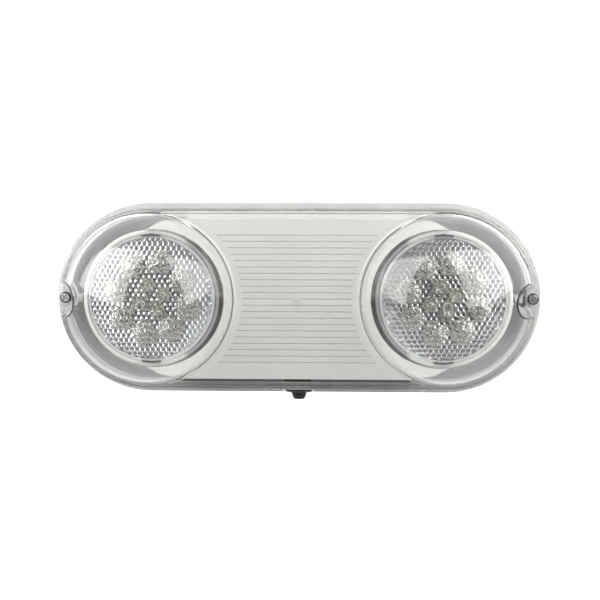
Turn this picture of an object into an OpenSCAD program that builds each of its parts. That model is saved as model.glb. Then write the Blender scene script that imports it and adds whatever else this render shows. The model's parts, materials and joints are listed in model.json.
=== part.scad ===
// Twin head emergency light for a wall: sealed grey back housing, one-piece clear cover with two
// domes, ribbed chassis plate, and two round LED heads that each pan and tilt in a gimbal ring.
// X runs to the right, Z up, and the light faces -Y. The origin is the centre of the back face.
// Inside wall_frame() the drawing plane is the wall and Z is the depth in front of it.

/* [Overall] */
// Width of the housing rim
body_w = 340; // [330:1:380]
// Height of the housing rim, which is also the diameter of its round ends
body_h = 133; // [130:1:140]

/* [Housing] */
// Depth of the housing from the wall to the top of its rim
housing_d = 42; // [38:0.5:44]
// Thickness of the housing's side wall at the rim
housing_wall = 3.4; // [3.2:0.1:3.8]
// Thickness of the housing's back
back_t = 3; // [2.5:0.1:3.6]
// Thickness of the rim flange
rim_t = 4; // [3.6:0.1:5]
// How far the rim flange stands out from the side wall
rim_w = 3.3; // [2.8:0.1:3.8]
// How much smaller the housing is at the wall than at its rim, on each side
housing_draft = 1.2; // [0.5:0.1:2]
// Radius of the rounded back edge
back_fillet = 3; // [1:0.5:4]
// Depth of the gasket groove in the rim
groove_d = 3; // [2.5:0.1:3.2]
// Thickness of the gasket once it is squeezed
gasket_t = 1.6; // [1.2:0.1:1.8]
// Radius of the wire entry in the middle of the back
entry_r = 11.1; // [9:0.1:14]
// Distance between the two junction box screw holes
box_hole_pitch = 88.9; // [70:0.1:95]
// Radius of the junction box screw holes
box_hole_r = 2.4; // [2:0.1:3]
// Distance between the two outer wall screw holes
wall_hole_pitch = 230; // [215:1:245]
// Radius of the outer wall screw holes
wall_hole_r = 2.6; // [2:0.1:3]

/* [Cover] */
// Wall thickness of the clear cover
cover_wall = 2.3; // [2:0.1:2.6]
// Thickness of the cover's flange
flange_t = 3.5; // [3:0.1:4]
// Depth in front of the wall of the cover's flat middle face
cover_face_z = 62.5; // [62:0.5:66]
// How far each dome is set in from the cover's upright wall
dome_step = 3; // [2.5:0.1:3.5]
// Depth in front of the wall of the dome centres
dome_z = 55; // [54:0.5:57]
// Radius of the rounded edge round the cover's face
cover_fillet = 3; // [1.5:0.5:4]
// Gap between the head of each cover screw and the wall of its pocket
pocket_play = 0.3; // [0.2:0.05:0.6]
// How much each pocket widens towards the front, for each millimetre of depth
pocket_flare = 0.2; // [0.1:0.02:0.24]
// Distance of each cover screw from the end of the rim
screw_inset = 5.2; // [5:0.1:5.6]
// Width of the moulded tab at the top of the flange
tab_w = 27.4; // [20:0.1:34]
// How far that tab stands above the flange
tab_proud = 0.6; // [0.3:0.1:1]

/* [Cover screws] */
// Radius of the cover screw's shank
screw_r = 2; // [1.5:0.1:2.2]
// Radius of the cover screw's pan head
screw_head_r = 4; // [3.6:0.1:4.2]
// Height of the cover screw's pan head
screw_head_h = 2.6; // [2:0.1:3]
// Length of the cover screw below its head
screw_len = 13; // [11:0.5:14]
// Radius of the brass insert that takes the cover screw
insert_r = 2.9; // [2.8:0.1:3.1]
// Length of the brass insert
insert_len = 12; // [9:0.5:14]

/* [Chassis plate] */
// Depth in front of the wall of the ribbed face
plate_face_z = 57; // [56.5:0.1:57.5]
// Thickness of the chassis plate
plate_t = 2.5; // [2:0.1:2.7]
// Gap between the plate's long edges and the housing wall
plate_gap = 3.6; // [3:0.1:4.5]
// Distance from one groove to the next
groove_pitch = 4.46; // [4:0.01:4.6]
// Number of grooves across the ribbed face
groove_count = 21; // [9:2:21]
// Width of a groove
groove_w = 1.1; // [0.6:0.1:1.6]
// Depth of a groove
groove_deep = 0.7; // [0.3:0.1:1]
// Gap between the domes and the arcs at which the grooves end
groove_end_gap = 5.3; // [3:0.1:8]
// Gap between the gimbal ring and the plate above and below it
plate_ring_gap = 0.35; // [0.35:0.05:0.6]
// Extra width of the crescent gap on the ring's inner side
crescent = 2.4; // [2:0.1:4]
// Depth of the plate's top and bottom skirts
skirt_d = 13; // [8:0.5:20]
// Thickness of the plate's skirts
skirt_t = 1.8; // [1.4:0.1:2.4]
// Gap between the housing wall and the flanges at the foot of the skirts
foot_gap = 0.5; // [0.3:0.1:1]
// Thickness of those flanges
foot_t = 1.5; // [1:0.1:2]
// Distance of the pilot lamp below the middle of the plate
pilot_drop = 1.6; // [0:0.1:2.4]

/* [Gimbal] */
// Distance of each head's centre from the centre of its end of the housing
head_inset = 1; // [0:0.1:2]
// Depth in front of the wall of both pivot axes
head_z = 52; // [51:0.1:52.4]
// Gap between the gimbal ring and the inside of the dome
ring_dome_gap = 9.7; // [9.3:0.1:10.3]
// Wall thickness of the gimbal ring
ring_wall = 2.6; // [2.4:0.1:2.7]
// Height of the gimbal ring
ring_h = 6; // [5.4:0.1:6.4]
// Radius of the steel pins on which the ring tilts
tilt_pin_r = 1.8; // [1.5:0.1:2]
// Radius of the pins on which the head pans
pan_pin_r = 1.5; // [1.2:0.1:1.7]
// Radial clearance of the pins in their bearings
pin_play = 0.06; // [0.03:0.01:0.09]
// Width of the posts and bosses that carry the tilt pins
bearing_w = 6; // [6:0.5:9]
// Thickness of the posts and bosses that carry the tilt pins
bearing_t = 3.2; // [3:0.1:4.2]
// Width of each pan pivot lug
lug_w = 13; // [9:0.5:15]

/* [Lamp head] */
// Gap between the head and the inside of the gimbal ring
head_gap = 0.6; // [0.5:0.05:0.7]
// Height of the lens rim
lens_rim_h = 4.5; // [4:0.1:4.8]
// Wall thickness of the lens
lens_t = 2.2; // [1.8:0.1:2.6]
// How far the middle of the lens stands in front of its rim
lens_crown = 3.5; // [2:0.1:4]
// Wall thickness of the head's shell
shell_t = 1.8; // [1.5:0.1:2.1]
// Room behind the LED board, up to the head's flat back
board_room = 13.2; // [11.5:0.1:14]
// Width of the lip round the opening in the head's back
shell_lip_w = 15.5; // [13.5:0.1:16]
// Depth of the reflector
reflector_d = 12; // [10:0.5:13]
// Number of reflector cups in the outer circle
outer_cups = 8; // [6:1:8]
// Gap between the mouths of the outer cups and the reflector's edge
outer_cup_gap = 6.4; // [6:0.1:7]
// Mouth radius of an outer cup
outer_cup_r = 8.9; // [7:0.1:9]
// Number of reflector cups in the inner circle
inner_cups = 4; // [3:1:4]
// Radius of the circle of the inner cups
inner_cup_ring_r = 9; // [8.6:0.1:9.2]
// Mouth radius of an inner cup
inner_cup_r = 6; // [5:0.1:6]
// Side of a square LED chip
led_w = 3.5; // [2.8:0.1:3.6]
// Height of an LED chip
led_h = 1; // [0.6:0.1:1.4]
// Thickness of the LED board
led_board_t = 1.6; // [1:0.1:1.8]

/* [Test switch] */
// Depth in front of the wall of the switch's axis
switch_z = 27; // [26.5:0.5:28]
// Side of the square switch body
switch_body_w = 13; // [11:0.5:14]
// Length of the switch body
switch_body_len = 12; // [10:0.5:13]
// Radius of the threaded bushing
bushing_r = 6; // [5:0.1:6.4]
// Radius of the plunger
plunger_r = 3.2; // [2:0.1:3.6]
// Radial clearance of the plunger in the bushing
plunger_play = 0.08; // [0.05:0.01:0.09]
// Thickness of the washer under the nut
washer_t = 0.8; // [0.5:0.1:1]
// Thickness of the nut
nut_t = 2.2; // [1.6:0.1:2.6]
// Radius of the rubber boot's flange
boot_r = 9.75; // [8.8:0.05:10.4]
// Thickness of the rubber boot's flange
boot_t = 2.4; // [2:0.1:3]
// Radius of the rubber boot's stem where it leaves the flange
stem_r = 5.2; // [4.6:0.1:5.6]
// Radius of the rubber boot's stem at its tip
stem_tip_r = 4.3; // [3.6:0.1:4.4]
// How far the stem stands out of the flange
stem_len = 5.2; // [5:0.1:8]
// Travel of the test button
button_travel = 1.5; // [1:0.1:1.8]

/* [Conduit plug] */
// Radius of the conduit hole in the top wall
conduit_r = 10.5; // [8:0.1:11]
// Radius of the plug's head
plug_head_r = 12.8; // [12:0.1:13.2]
// Thickness of the plug's head
plug_head_t = 2; // [1.5:0.1:2.4]

/* [Battery] */
// Number of cells
cell_count = 3; // [2:1:3]
// Radius of a cell
cell_r = 7.1; // [6.5:0.1:7.2]
// Length of a cell
cell_len = 50; // [44:0.5:52]
// Thickness of the sleeve round the cells
sleeve_t = 0.4; // [0.3:0.1:0.6]
// Gap between the battery and the housing's bottom wall
battery_gap = 3; // [2.4:0.1:3.6]
// Width of the bracket over the battery
strap_w = 22; // [16:0.5:24]
// Thickness of the bracket's metal
strap_t = 1; // [0.8:0.1:1.2]

/* [Charger board] */
// Width of the charger board
board_w = 84; // [80:1:88]
// Height of the charger board
board_h = 42; // [41:0.5:43]
// Thickness of the charger board
board_t = 1.6; // [1:0.1:2]
// Gap between the board and the posts of the chassis plate
board_post_gap = 0.8; // [0.5:0.1:2]
// Height of the board's standoffs above the housing's back
standoff_h = 8; // [6:0.5:9]
// Width of the transformer's core
core_w = 30; // [26:0.5:31]
// Height of the transformer's core above its foot
core_h = 25; // [20:0.5:27]
// Thickness of the transformer's stack of laminations
core_t = 12; // [9:0.5:14]
// Radius of the electrolytic capacitors
cap_r = 5; // [4:0.1:5.4]
// Height of the electrolytic capacitors
cap_h = 16; // [10:0.5:20]
// Radius of the insulated wires
wire_r = 0.9; // [0.6:0.05:1.1]

/* [Hidden] */
$fn = 96;
eps = 0.01;
rest_gap = 0.3;          // gap at rest between bodies that only lie against each other
seat_gap = 0.05;         // gap between pieces of one body that are pushed together
through = 200;           // length of a cut that goes right through

rim_r = body_h / 2;
end_x = (body_w - body_h) / 2;
tub_r = rim_r - rim_w;
inner_r = tub_r - housing_wall;
cover_wall_r = tub_r;
cover_inner_r = cover_wall_r - cover_wall;
dome_r = cover_wall_r - dome_step;
dome_inner_r = dome_r - cover_wall;
flange_z = housing_d + rest_gap;
pocket_x = body_w / 2;
pocket_r = screw_inset + screw_head_r + pocket_play;
screw_x = body_w / 2 - screw_inset;
groove_play = 0.2;
groove_lip = 1.3;
groove_out_r = cover_wall_r - groove_play;
groove_in_r = cover_inner_r + groove_play;
plate_back_z = plate_face_z - plate_t;
plate_half_h = inner_r - plate_gap;
groove_end_r = dome_r + groove_end_gap;
head_x = end_x - head_inset;
ring_r = dome_inner_r - ring_dome_gap;
cutout_r = ring_r + plate_ring_gap;
crescent_edge = cutout_r + crescent;
ring_in_r = ring_r - ring_wall;
head_r = ring_in_r - head_gap;
shell_r = head_r - 0.4;
shell_in_r = shell_r - shell_t;
lens_foot = 1;
lug_in_r = head_r - 1.1;
lug_out_r = head_r + 0.1;
lens_edge_r = head_r - 2;
lens_front = lens_foot + lens_rim_h;
lens_sphere_r = (lens_edge_r * lens_edge_r + lens_crown * lens_crown) / (2 * lens_crown);
led_board_front = -reflector_d - 0.2;
led_board_r = sqrt(pow(shell_in_r, 2) - pow(reflector_d + 0.2 + led_board_t, 2)) - 0.4;
reflector_r = sqrt(pow(shell_in_r, 2) - pow(reflector_d, 2)) - 0.4;
outer_cup_ring_r = reflector_r - outer_cup_gap - outer_cup_r;
shell_back = reflector_d + 0.2 + led_board_t + board_room;
shell_back_r = sqrt(pow(shell_r, 2) - pow(shell_back, 2));
shell_hole_r = shell_back_r - shell_lip_w;
cup_foot_r = led_w * 0.5 * sqrt(2) + 0.3;
outer_bearing_x = head_x + ring_r + 0.7;
inner_bearing_x = head_x - crescent_edge;
head_wire_tip = 19;
switch_pad_r = 10.6;
washer_r = bushing_r + 2.2;
pad_y = tub_r + 0.2;
conduit_z = housing_d - rim_t - plug_head_r - 0.2;
boot_y = washer_t + nut_t;
bushing_out = boot_y + 0.4;
stem_top = bushing_out + button_travel + 0.2;
board_front_z = back_t + standoff_h + board_t;
cell_pitch = 2 * cell_r + 0.1;
battery_z = back_t + sleeve_t + cell_r + seat_gap;
battery_h = cell_count * cell_pitch - 0.1;
battery_y = battery_gap + battery_h / 2 + sleeve_t - inner_r;
battery_top_y = battery_y + battery_h / 2 + sleeve_t;
board_y = (inner_r + battery_top_y) / 2;
board_low_y = board_y - board_h / 2;
board_hole_x = board_w / 2 - 4;
board_hole_y = board_h / 2 - 4;
core_relay_gap = 5;
transformer_x = -core_w / 2 - core_relay_gap;
relay_w = 19;
relay_h = 15;
relay_d = 15.5;
fuse_r = 2.5;
fuse_x = relay_w + fuse_r + 2;
fuse_len = 14;
terminal_w = 9;
terminal_x = fuse_x + fuse_r + 1.8;
strap_leg_x = cell_len / 2 + 1.5;
strap_foot = 4;
strap_screw_x = strap_leg_x + strap_t + 5;
pilot_r = 1.5;
pilot_wire_r = 0.5;
post_r = 4;
post_x = board_w / 2 + post_r + board_post_gap;
post_y = plate_half_h - 11.2;
hook_x = 30;
hook_w = 10;
wing_angle = 10.6;

housing_grey = "#b4b6b2";
plate_grey = "#d6d6d2";
clear_tint = [0.9, 0.93, 0.94, 0.35];
steel = "#c3c6c8";
rubber_black = "#1a1a1c";

// Turns the wall plane upright: drawing Y becomes Z and drawing Z comes out of the wall
module wall_frame() {
    rotate([90, 0, 0]) children();
}

// Both ends of the light
module both_ends() {
    children();
    mirror([1, 0, 0]) children();
}

// Round-ended outline of the light with half height r
module stadium(r) {
    square([2 * end_x, 2 * r], center = true);
    for (s = [-1, 1]) translate([s * end_x, 0]) circle(r);
}

// Outline that steps back round the two screw pockets
module pocketed(r, pocket) {
    difference() {
        stadium(r);
        for (s = [-1, 1]) translate([s * pocket_x, 0]) circle(pocket);
    }
}

// Sweeps a half section, whose X is the distance from the centre line, round the stadium
module sweep_stadium() {
    for (turn = [0, 180]) rotate([0, 0, turn]) {
        translate([end_x, 0, 0]) rotate([0, 0, -90]) rotate_extrude(angle = 180) children();
        translate([-end_x, 0, 0]) rotate([90, 0, 90]) linear_extrude(2 * end_x) children();
    }
}

// Corner to take off a section so that its outer edge is rounded with radius r
module corner_off(r) {
    difference() {
        translate([-r, -r]) square(r + 1);
        translate([-r, -r]) circle(r);
    }
}

module tube(outer, inner, h) {
    difference() {
        cylinder(r = outer, h = h);
        translate([0, 0, -eps]) cylinder(r = inner, h = h + 2 * eps);
    }
}

module pan_screw(shank_r, head_r, head_h, len) {
    difference() {
        union() {
            cylinder(r = shank_r, h = len + eps);
            translate([0, 0, len]) cylinder(r = head_r, h = head_h * 0.55);
            translate([0, 0, len + head_h * 0.55])
                cylinder(r1 = head_r, r2 = head_r * 0.7, h = head_h * 0.45);
        }
        for (turn = [0, 90]) rotate([0, 0, turn])
            translate([-head_r * 0.55, -0.4, len + head_h * 0.4]) cube([head_r * 1.1, 0.8, head_h]);
    }
}

// A round wire along the points of its route, as one closed skin
function unit(v) = v / norm(v);
function route_dir(p, i) =
    i == 0 ? unit(p[1] - p[0]) :
    i == len(p) - 1 ? unit(p[i] - p[i - 1]) :
    unit(unit(p[i + 1] - p[i]) + unit(p[i] - p[i - 1]));
function carry(n, d) = unit(n - (n * d) * d);
function frames(p, i, n) =
    i == len(p) ? [] : let (m = carry(n, route_dir(p, i))) concat([m], frames(p, i + 1, m));
function bezier(a, b, c, d, t) =
    pow(1 - t, 3) * a + 3 * pow(1 - t, 2) * t * b + 3 * (1 - t) * t * t * c + pow(t, 3) * d;

// Smooth route through the given points, with tangents after Catmull and Rom
function smooth(p, steps) = concat([for (i = [0:len(p) - 2]) let (
        a = p[i], d = p[i + 1],
        ta = i == 0 ? d - a : (d - p[i - 1]) / 2,
        td = i == len(p) - 2 ? d - a : (p[i + 2] - a) / 2)
    for (k = [0:steps - 1]) bezier(a, a + ta / 3, d - td / 3, d, k / steps)], [p[len(p) - 1]]);

module wire(points, r, steps = 4, sides = 8) {
    p = smooth(points, steps);
    first = abs(route_dir(p, 0)[0]) < 0.9 ? [1, 0, 0] : [0, 1, 0];
    n = frames(p, 0, first);
    ring = [for (i = [0:len(p) - 1]) let (d = route_dir(p, i), u = n[i], v = cross(d, u))
        for (k = [0:sides - 1]) p[i] + r * (cos(360 * k / sides) * u + sin(360 * k / sides) * v)];
    sides_list = [for (i = [0:len(p) - 2]) for (k = [0:sides - 1]) let (
            a = i * sides + k, b = i * sides + (k + 1) % sides)
        each [[a, a + sides, b], [b, a + sides, b + sides]]];
    near_cap = [for (k = [1:sides - 2]) [0, k, k + 1]];
    last = (len(p) - 1) * sides;
    far_cap = [for (k = [1:sides - 2]) [last, last + k + 1, last + k]];
    polyhedron(ring, concat(sides_list, near_cap, far_cap));
}

// Section of the housing's outside
module housing_section() {
    difference() {
        polygon([
            [0, 0], [tub_r - housing_draft, 0], [tub_r, housing_d - rim_t], [rim_r, housing_d - rim_t],
            [rim_r, housing_d], [0, housing_d]
        ]);
        translate([tub_r - housing_draft, 0]) mirror([0, 1]) corner_off(back_fillet);
    }
}

module housing_shell() {
    difference() {
        sweep_stadium() housing_section();
        translate([0, 0, back_t]) linear_extrude(housing_d) stadium(inner_r);
    }
}

// Lens-shaped pillars behind the screw pockets, which carry the brass inserts
module screw_pillars() {
    translate([0, 0, housing_d - insert_len - 8]) linear_extrude(insert_len + 8) intersection() {
        stadium(tub_r - housing_draft);
        for (s = [-1, 1]) translate([s * pocket_x, 0]) circle(pocket_r + cover_wall + groove_lip);
    }
}

// Posts on the outer side of the heads that carry the outer tilt pins, with a gusset to the wall
module outer_posts() {
    both_ends() difference() {
        union() {
            translate([outer_bearing_x, -bearing_w / 2, back_t - eps])
                cube([bearing_t, bearing_w, head_z - back_t]);
            translate([outer_bearing_x, 0, head_z]) rotate([0, 90, 0])
                cylinder(r = bearing_w / 2, h = bearing_t);
            translate([outer_bearing_x, -1.25, back_t - eps])
                cube([end_x + inner_r - outer_bearing_x + 1, 2.5, housing_d * 0.7]);
        }
        translate([outer_bearing_x - 1, 0, head_z]) rotate([0, 90, 0])
            cylinder(r = tilt_pin_r + pin_play, h = bearing_t + 2);
    }
}

// Posts under the corners of the chassis plate
module plate_posts() {
    for (x = [-post_x, post_x], y = [-post_y, post_y]) translate([x, y, back_t - eps])
        cylinder(r = post_r, h = plate_back_z - back_t + eps);
}

// Catches on the long walls, under which the chassis hooks snap
module hook_catches() {
    for (x = [-hook_x, hook_x], s = [-1, 1])
        translate([x - hook_w / 2, s > 0 ? plate_half_h + 1.2 : -inner_r - eps, housing_d - rim_t - 8])
            cube([hook_w, inner_r + eps - plate_half_h - 1.2, 4]);
}

module board_standoffs() {
    for (x = [-1, 1], y = [-1, 1])
        translate([x * board_hole_x, board_y + y * board_hole_y, back_t - eps])
            tube(3, 1.1, standoff_h + eps);
}

// Ribs beside the battery and the bosses for its bracket
module battery_cradle() {
    rib_y = battery_h / 2 + sleeve_t + 0.9;
    for (x = [-1, 1], y = [-1, 1])
        translate([x * cell_len * 0.32 - 3, battery_y + y * rib_y - 0.6, back_t - eps])
            cube([6, 1.2, cell_r]);
    for (x = [-1, 1]) translate([x * strap_screw_x, battery_y, back_t - eps])
        tube(3.6, 1.1, strap_foot + eps);
}

// Turns Z to point down and out through the bottom wall, from the switch's seat
module switch_frame() {
    translate([0, -pad_y, switch_z]) rotate([90, 0, 0]) children();
}

// Turns Z to point up and out through the top wall, from the conduit plug's seat
module conduit_frame() {
    translate([0, pad_y, conduit_z]) rotate([-90, 0, 0]) children();
}

module housing() {
    color(housing_grey) wall_frame() difference() {
        union() {
            housing_shell();
            screw_pillars();
            for (s = [-1, 1]) translate([s * screw_x, 0, housing_d - insert_len - 8])
                cylinder(r = insert_r + 2, h = insert_len + 8);
            outer_posts();
            plate_posts();
            hook_catches();
            board_standoffs();
            battery_cradle();
            switch_frame() translate([0, 0, -housing_wall + 0.5])
                cylinder(r = switch_pad_r, h = housing_wall - 0.5);
            conduit_frame() translate([0, 0, -housing_wall + 0.5])
                cylinder(r = plug_head_r - 0.4, h = housing_wall - 0.5);
        }
        translate([0, 0, housing_d - groove_d]) linear_extrude(groove_d + 1) difference() {
            pocketed(groove_out_r, pocket_r + groove_play);
            pocketed(groove_in_r, pocket_r + cover_wall - groove_play);
        }
        for (s = [-1, 1]) translate([s * screw_x, 0, 0]) {
            translate([0, 0, housing_d - insert_len]) cylinder(r = insert_r, h = through);
            translate([0, 0, housing_d - insert_len - 4]) cylinder(r = screw_r + 0.2, h = through);
        }
        translate([0, 0, -1]) cylinder(r = entry_r, h = back_t + 2);
        for (s = [-1, 1]) {
            translate([s * box_hole_pitch / 2, 0, -1]) cylinder(r = box_hole_r, h = back_t + 2);
            translate([s * wall_hole_pitch / 2, 0, -1]) cylinder(r = wall_hole_r, h = back_t + 2);
        }
        switch_frame() translate([0, 0, -housing_wall - 2])
            cylinder(r = bushing_r + 0.1, h = housing_wall + 4);
        switch_frame() translate([0, 0, seat_gap]) cylinder(r = washer_r + rest_gap, h = rim_w);
        translate([-switch_pad_r - 1, -rim_r - 1, housing_d - rim_t - 1])
            cube([2 * switch_pad_r + 2, rim_r + 1 - tub_r - 1, rim_t + 2]);
        conduit_frame() translate([0, 0, -housing_wall - 2]) cylinder(r = conduit_r, h = housing_wall + 4);
    }
}

// Section of the cover's flange, wall and face, with a rounded edge
module cover_body() {
    translate([0, 0, flange_z]) linear_extrude(flange_t) stadium(rim_r);
    translate([0, 0, flange_z]) sweep_stadium() difference() {
        square([cover_wall_r, cover_face_z - flange_z]);
        translate([cover_wall_r, cover_face_z - flange_z]) corner_off(cover_fillet);
    }
    for (s = [-1, 1]) translate([s * end_x, 0, dome_z]) intersection() {
        sphere(dome_r);
        translate([0, 0, flange_z + flange_t - dome_z]) cylinder(r = rim_r, h = through);
    }
}

module cover_cavity() {
    difference() {
        union() {
            translate([0, 0, flange_z - 1]) linear_extrude(cover_face_z - cover_wall - flange_z + 1)
                stadium(cover_inner_r);
            for (s = [-1, 1]) translate([s * end_x, 0, dome_z]) intersection() {
                sphere(dome_inner_r);
                translate([0, 0, flange_z - dome_z]) cylinder(r = rim_r, h = through);
            }
        }
        for (s = [-1, 1]) translate([s * pocket_x, 0, 0]) cylinder(r = pocket_r + cover_wall, h = through);
        pocket_cones(pocket_r + cover_wall);
    }
}

// Flared upper part of the two screw pockets, with radius r where it starts on the flange
module pocket_cones(r) {
    for (s = [-1, 1]) translate([s * pocket_x, 0, flange_z + flange_t])
        cylinder(r1 = r, r2 = r + pocket_flare * dome_r, h = dome_r);
}

module cover() {
    tab_reach = rim_r - cover_wall_r + 0.5 + tab_proud;
    color(clear_tint) wall_frame() difference() {
        union() {
            difference() {
                cover_body();
                cover_cavity();
                pocket_cones(pocket_r);
            }
            // Bead that presses on the gasket in its groove
            translate([0, 0, housing_d - groove_d + gasket_t + rest_gap])
                linear_extrude(flange_z - housing_d + groove_d - gasket_t - rest_gap + eps) difference() {
                    pocketed(groove_out_r - 0.4, pocket_r + groove_play + 0.4);
                    pocketed(groove_in_r + 0.4, pocket_r + cover_wall - groove_play - 0.4);
                }
            // Moulded tab at the top of the flange, with its two ribs
            translate([-tab_w / 2, cover_wall_r - 0.5, flange_z]) cube([tab_w, tab_reach, flange_t]);
            for (s = [-1, 1])
                translate([s * tab_w * 0.36 - 1.5, cover_wall_r - 0.5, flange_z + flange_t - eps])
                    cube([3, tab_reach, 1.4]);
        }
        for (s = [-1, 1]) translate([s * screw_x, 0, flange_z - 1])
            cylinder(r = screw_r + 0.3, h = flange_t + 2);
    }
}

module cover_gasket() {
    color(rubber_black) wall_frame() translate([0, 0, housing_d - groove_d])
        linear_extrude(gasket_t) difference() {
            pocketed(groove_out_r - seat_gap, pocket_r + groove_play + seat_gap);
            pocketed(groove_in_r + seat_gap, pocket_r + cover_wall - groove_play - seat_gap);
        }
}

module cover_screw_seals() {
    color(rubber_black) wall_frame() for (s = [-1, 1]) translate([s * screw_x, 0, flange_z + flange_t])
        tube(screw_head_r - 0.2, screw_r + seat_gap, 0.8);
}

module cover_screws() {
    color(steel) wall_frame() for (s = [-1, 1])
        translate([s * screw_x, 0, flange_z + flange_t + 0.8 - screw_len])
            rotate([0, 0, s > 0 ? 20 : 55]) pan_screw(screw_r, screw_head_r, screw_head_h, screw_len);
}

module screw_inserts() {
    color("#b58a3c") wall_frame() for (s = [-1, 1]) translate([s * screw_x, 0, housing_d - insert_len])
        tube(insert_r, screw_r + 0.08, insert_len);
}

// Half of the plate's outline at one end, with the shoulder that sinks towards the gimbal ring
module plate_wing() {
    top = plate_half_h;
    from = [head_x - 26, top];
    to = [head_x + (cutout_r - 0.6) * sin(wing_angle), (cutout_r - 0.6) * cos(wing_angle)];
    polygon(concat(
        [[0, 0], [0, top]],
        [for (k = [0:12])
            bezier(from, [head_x + 4.5, top - 1.8], [head_x - 6.5, cutout_r + 1.3], to, k / 12)],
        [[to[0], 0]]
    ));
}

module plate_outline() {
    difference() {
        for (x = [0, 1], y = [0, 1]) mirror([x, 0]) mirror([0, y]) plate_wing();
        for (s = [-1, 1]) {
            translate([s * head_x, 0]) circle(cutout_r);
            translate([s * (head_x - crescent), 0]) circle(cutout_r + 0.05);
        }
    }
}

// One groove across the whole plate, as a V with its point inwards
module groove() {
    rotate([90, 0, 90]) translate([0, 0, -end_x]) linear_extrude(2 * end_x)
        polygon([[-groove_w / 2, 0.1], [0, -groove_deep], [groove_w / 2, 0.1]]);
}

module chassis_plate() {
    color(plate_grey) wall_frame() difference() {
        union() {
            translate([0, 0, plate_back_z]) linear_extrude(plate_t) plate_outline();
            for (y = [-1, 1]) translate([0, y * (plate_half_h - skirt_t / 2), plate_face_z - skirt_d / 2])
                cube([2 * (head_x - 24), skirt_t, skirt_d - eps], center = true);
            for (y = [-1, 1]) skirt_foot(y);
            for (s = [-1, 1]) {
                translate([s * (inner_bearing_x - bearing_t / 2), 0, head_z]) difference() {
                    translate([-bearing_t / 2, -bearing_w / 2, -tilt_pin_r - 2])
                        cube([bearing_t, bearing_w, plate_face_z - 1 - head_z + tilt_pin_r + 2]);
                    rotate([0, 90, 0]) cylinder(r = tilt_pin_r + pin_play, h = 4 * bearing_t, center = true);
                }
                for (y = [-1, 1]) translate([s * hook_x, 0, 0]) snap_hook(y);
            }
            translate([0, -pilot_drop, 0]) tube_boss(pilot_r + 1.4, pilot_r + 0.06);
        }
        intersection() {
            for (k = [0:groove_count - 1])
                translate([0, (k - (groove_count - 1) / 2) * groove_pitch, plate_face_z]) groove();
            translate([0, 0, plate_face_z - groove_deep - 1]) linear_extrude(groove_deep + 2) difference() {
                square([2 * end_x, 2 * plate_half_h], center = true);
                for (s = [-1, 1]) translate([s * end_x, 0]) circle(groove_end_r);
            }
        }
        translate([0, -pilot_drop, 0]) cylinder(r = pilot_r + 0.06, h = through);
        translate([-switch_body_w / 2 - 3, -inner_r, plate_face_z - skirt_d - 1])
            cube([switch_body_w + 6, inner_r - plate_half_h, foot_t + 2]);
    }
}

// Flange at the foot of a skirt, which closes the gap to the housing wall
module skirt_foot(y) {
    scale([1, y, 1]) translate([24 - head_x, plate_half_h - skirt_t / 2, plate_face_z - skirt_d])
        cube([2 * (head_x - 24), inner_r - foot_gap - plate_half_h + skirt_t / 2, foot_t]);
}

// Boss round the pilot lamp's hole, on the back of the plate
module tube_boss(outer, inner) {
    translate([0, 0, plate_back_z - 2.2]) tube(outer, inner, 2.4);
}

// Snap hook from the plate's long edge down to its catch
module snap_hook(y) {
    catch_z = housing_d - rim_t - 8;
    scale([1, y, 1]) translate([-hook_w / 2 + 1, plate_half_h - skirt_t, catch_z - 5.3]) {
        cube([hook_w - 2, skirt_t, plate_back_z - catch_z + 5.4]);
        rotate([90, 0, 90]) linear_extrude(hook_w - 2)
            polygon([[skirt_t - eps, 0], [skirt_t + 2.2, 3.2], [skirt_t + 2.2, 5], [skirt_t - eps, 5]]);
    }
}

module pilot_led() {
    color([0.92, 0.94, 0.95, 0.6]) wall_frame() translate([0, -pilot_drop, 0]) {
        translate([0, 0, plate_back_z - 2.2]) cylinder(r = pilot_r, h = plate_t + 2.2);
        translate([0, 0, plate_face_z]) sphere(pilot_r - 0.02);
        translate([0, 0, plate_back_z - 3.2]) cylinder(r = pilot_r + 0.4, h = 1);
    }
}

module pilot_led_clip() {
    color(rubber_black) wall_frame() translate([0, -pilot_drop, plate_back_z - 5.2])
        tube(pilot_r + 1.4, pilot_r + 0.45, 3);
}

// Places a part of a lamp head at its pivot point: s is -1 on the left and 1 on the right
module at_head(s) {
    wall_frame() translate([s * head_x, 0, head_z]) children();
}

module gimbal_ring() {
    difference() {
        rotate_extrude() difference() {
            translate([ring_in_r, -ring_h / 2]) square([ring_wall, ring_h]);
            translate([ring_r, ring_h / 2]) corner_off(1);
        }
        rotate([90, 0, 0]) cylinder(r = pan_pin_r + pin_play, h = through, center = true);
        rotate([0, 90, 0]) cylinder(r = tilt_pin_r, h = through, center = true);
    }
}

// The two steel pins of one ring: the inner one crosses the crescent gap, the outer one ends in its post
module tilt_pins(s) {
    inner_end = head_x - inner_bearing_x + bearing_t;
    outer_end = outer_bearing_x - head_x + bearing_t;
    start = ring_in_r + 0.2;
    rotate([0, -s * 90, 0]) translate([0, 0, start]) cylinder(r = tilt_pin_r, h = inner_end - start);
    rotate([0, s * 90, 0]) translate([0, 0, start]) cylinder(r = tilt_pin_r, h = outer_end - start);
}

// Room that the two pan lugs take at the head's edge
module lug_space(play) {
    for (s = [-1, 1]) translate([0, 0, -2.2 - play])
        linear_extrude(2.2 + lens_front + 2 * play) intersection() {
            difference() {
                circle(lug_out_r + play);
                circle(lug_in_r - play);
            }
            translate([-lug_w / 2 - play, s > 0 ? 0 : -through]) square([lug_w + 2 * play, through]);
        }
}

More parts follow.
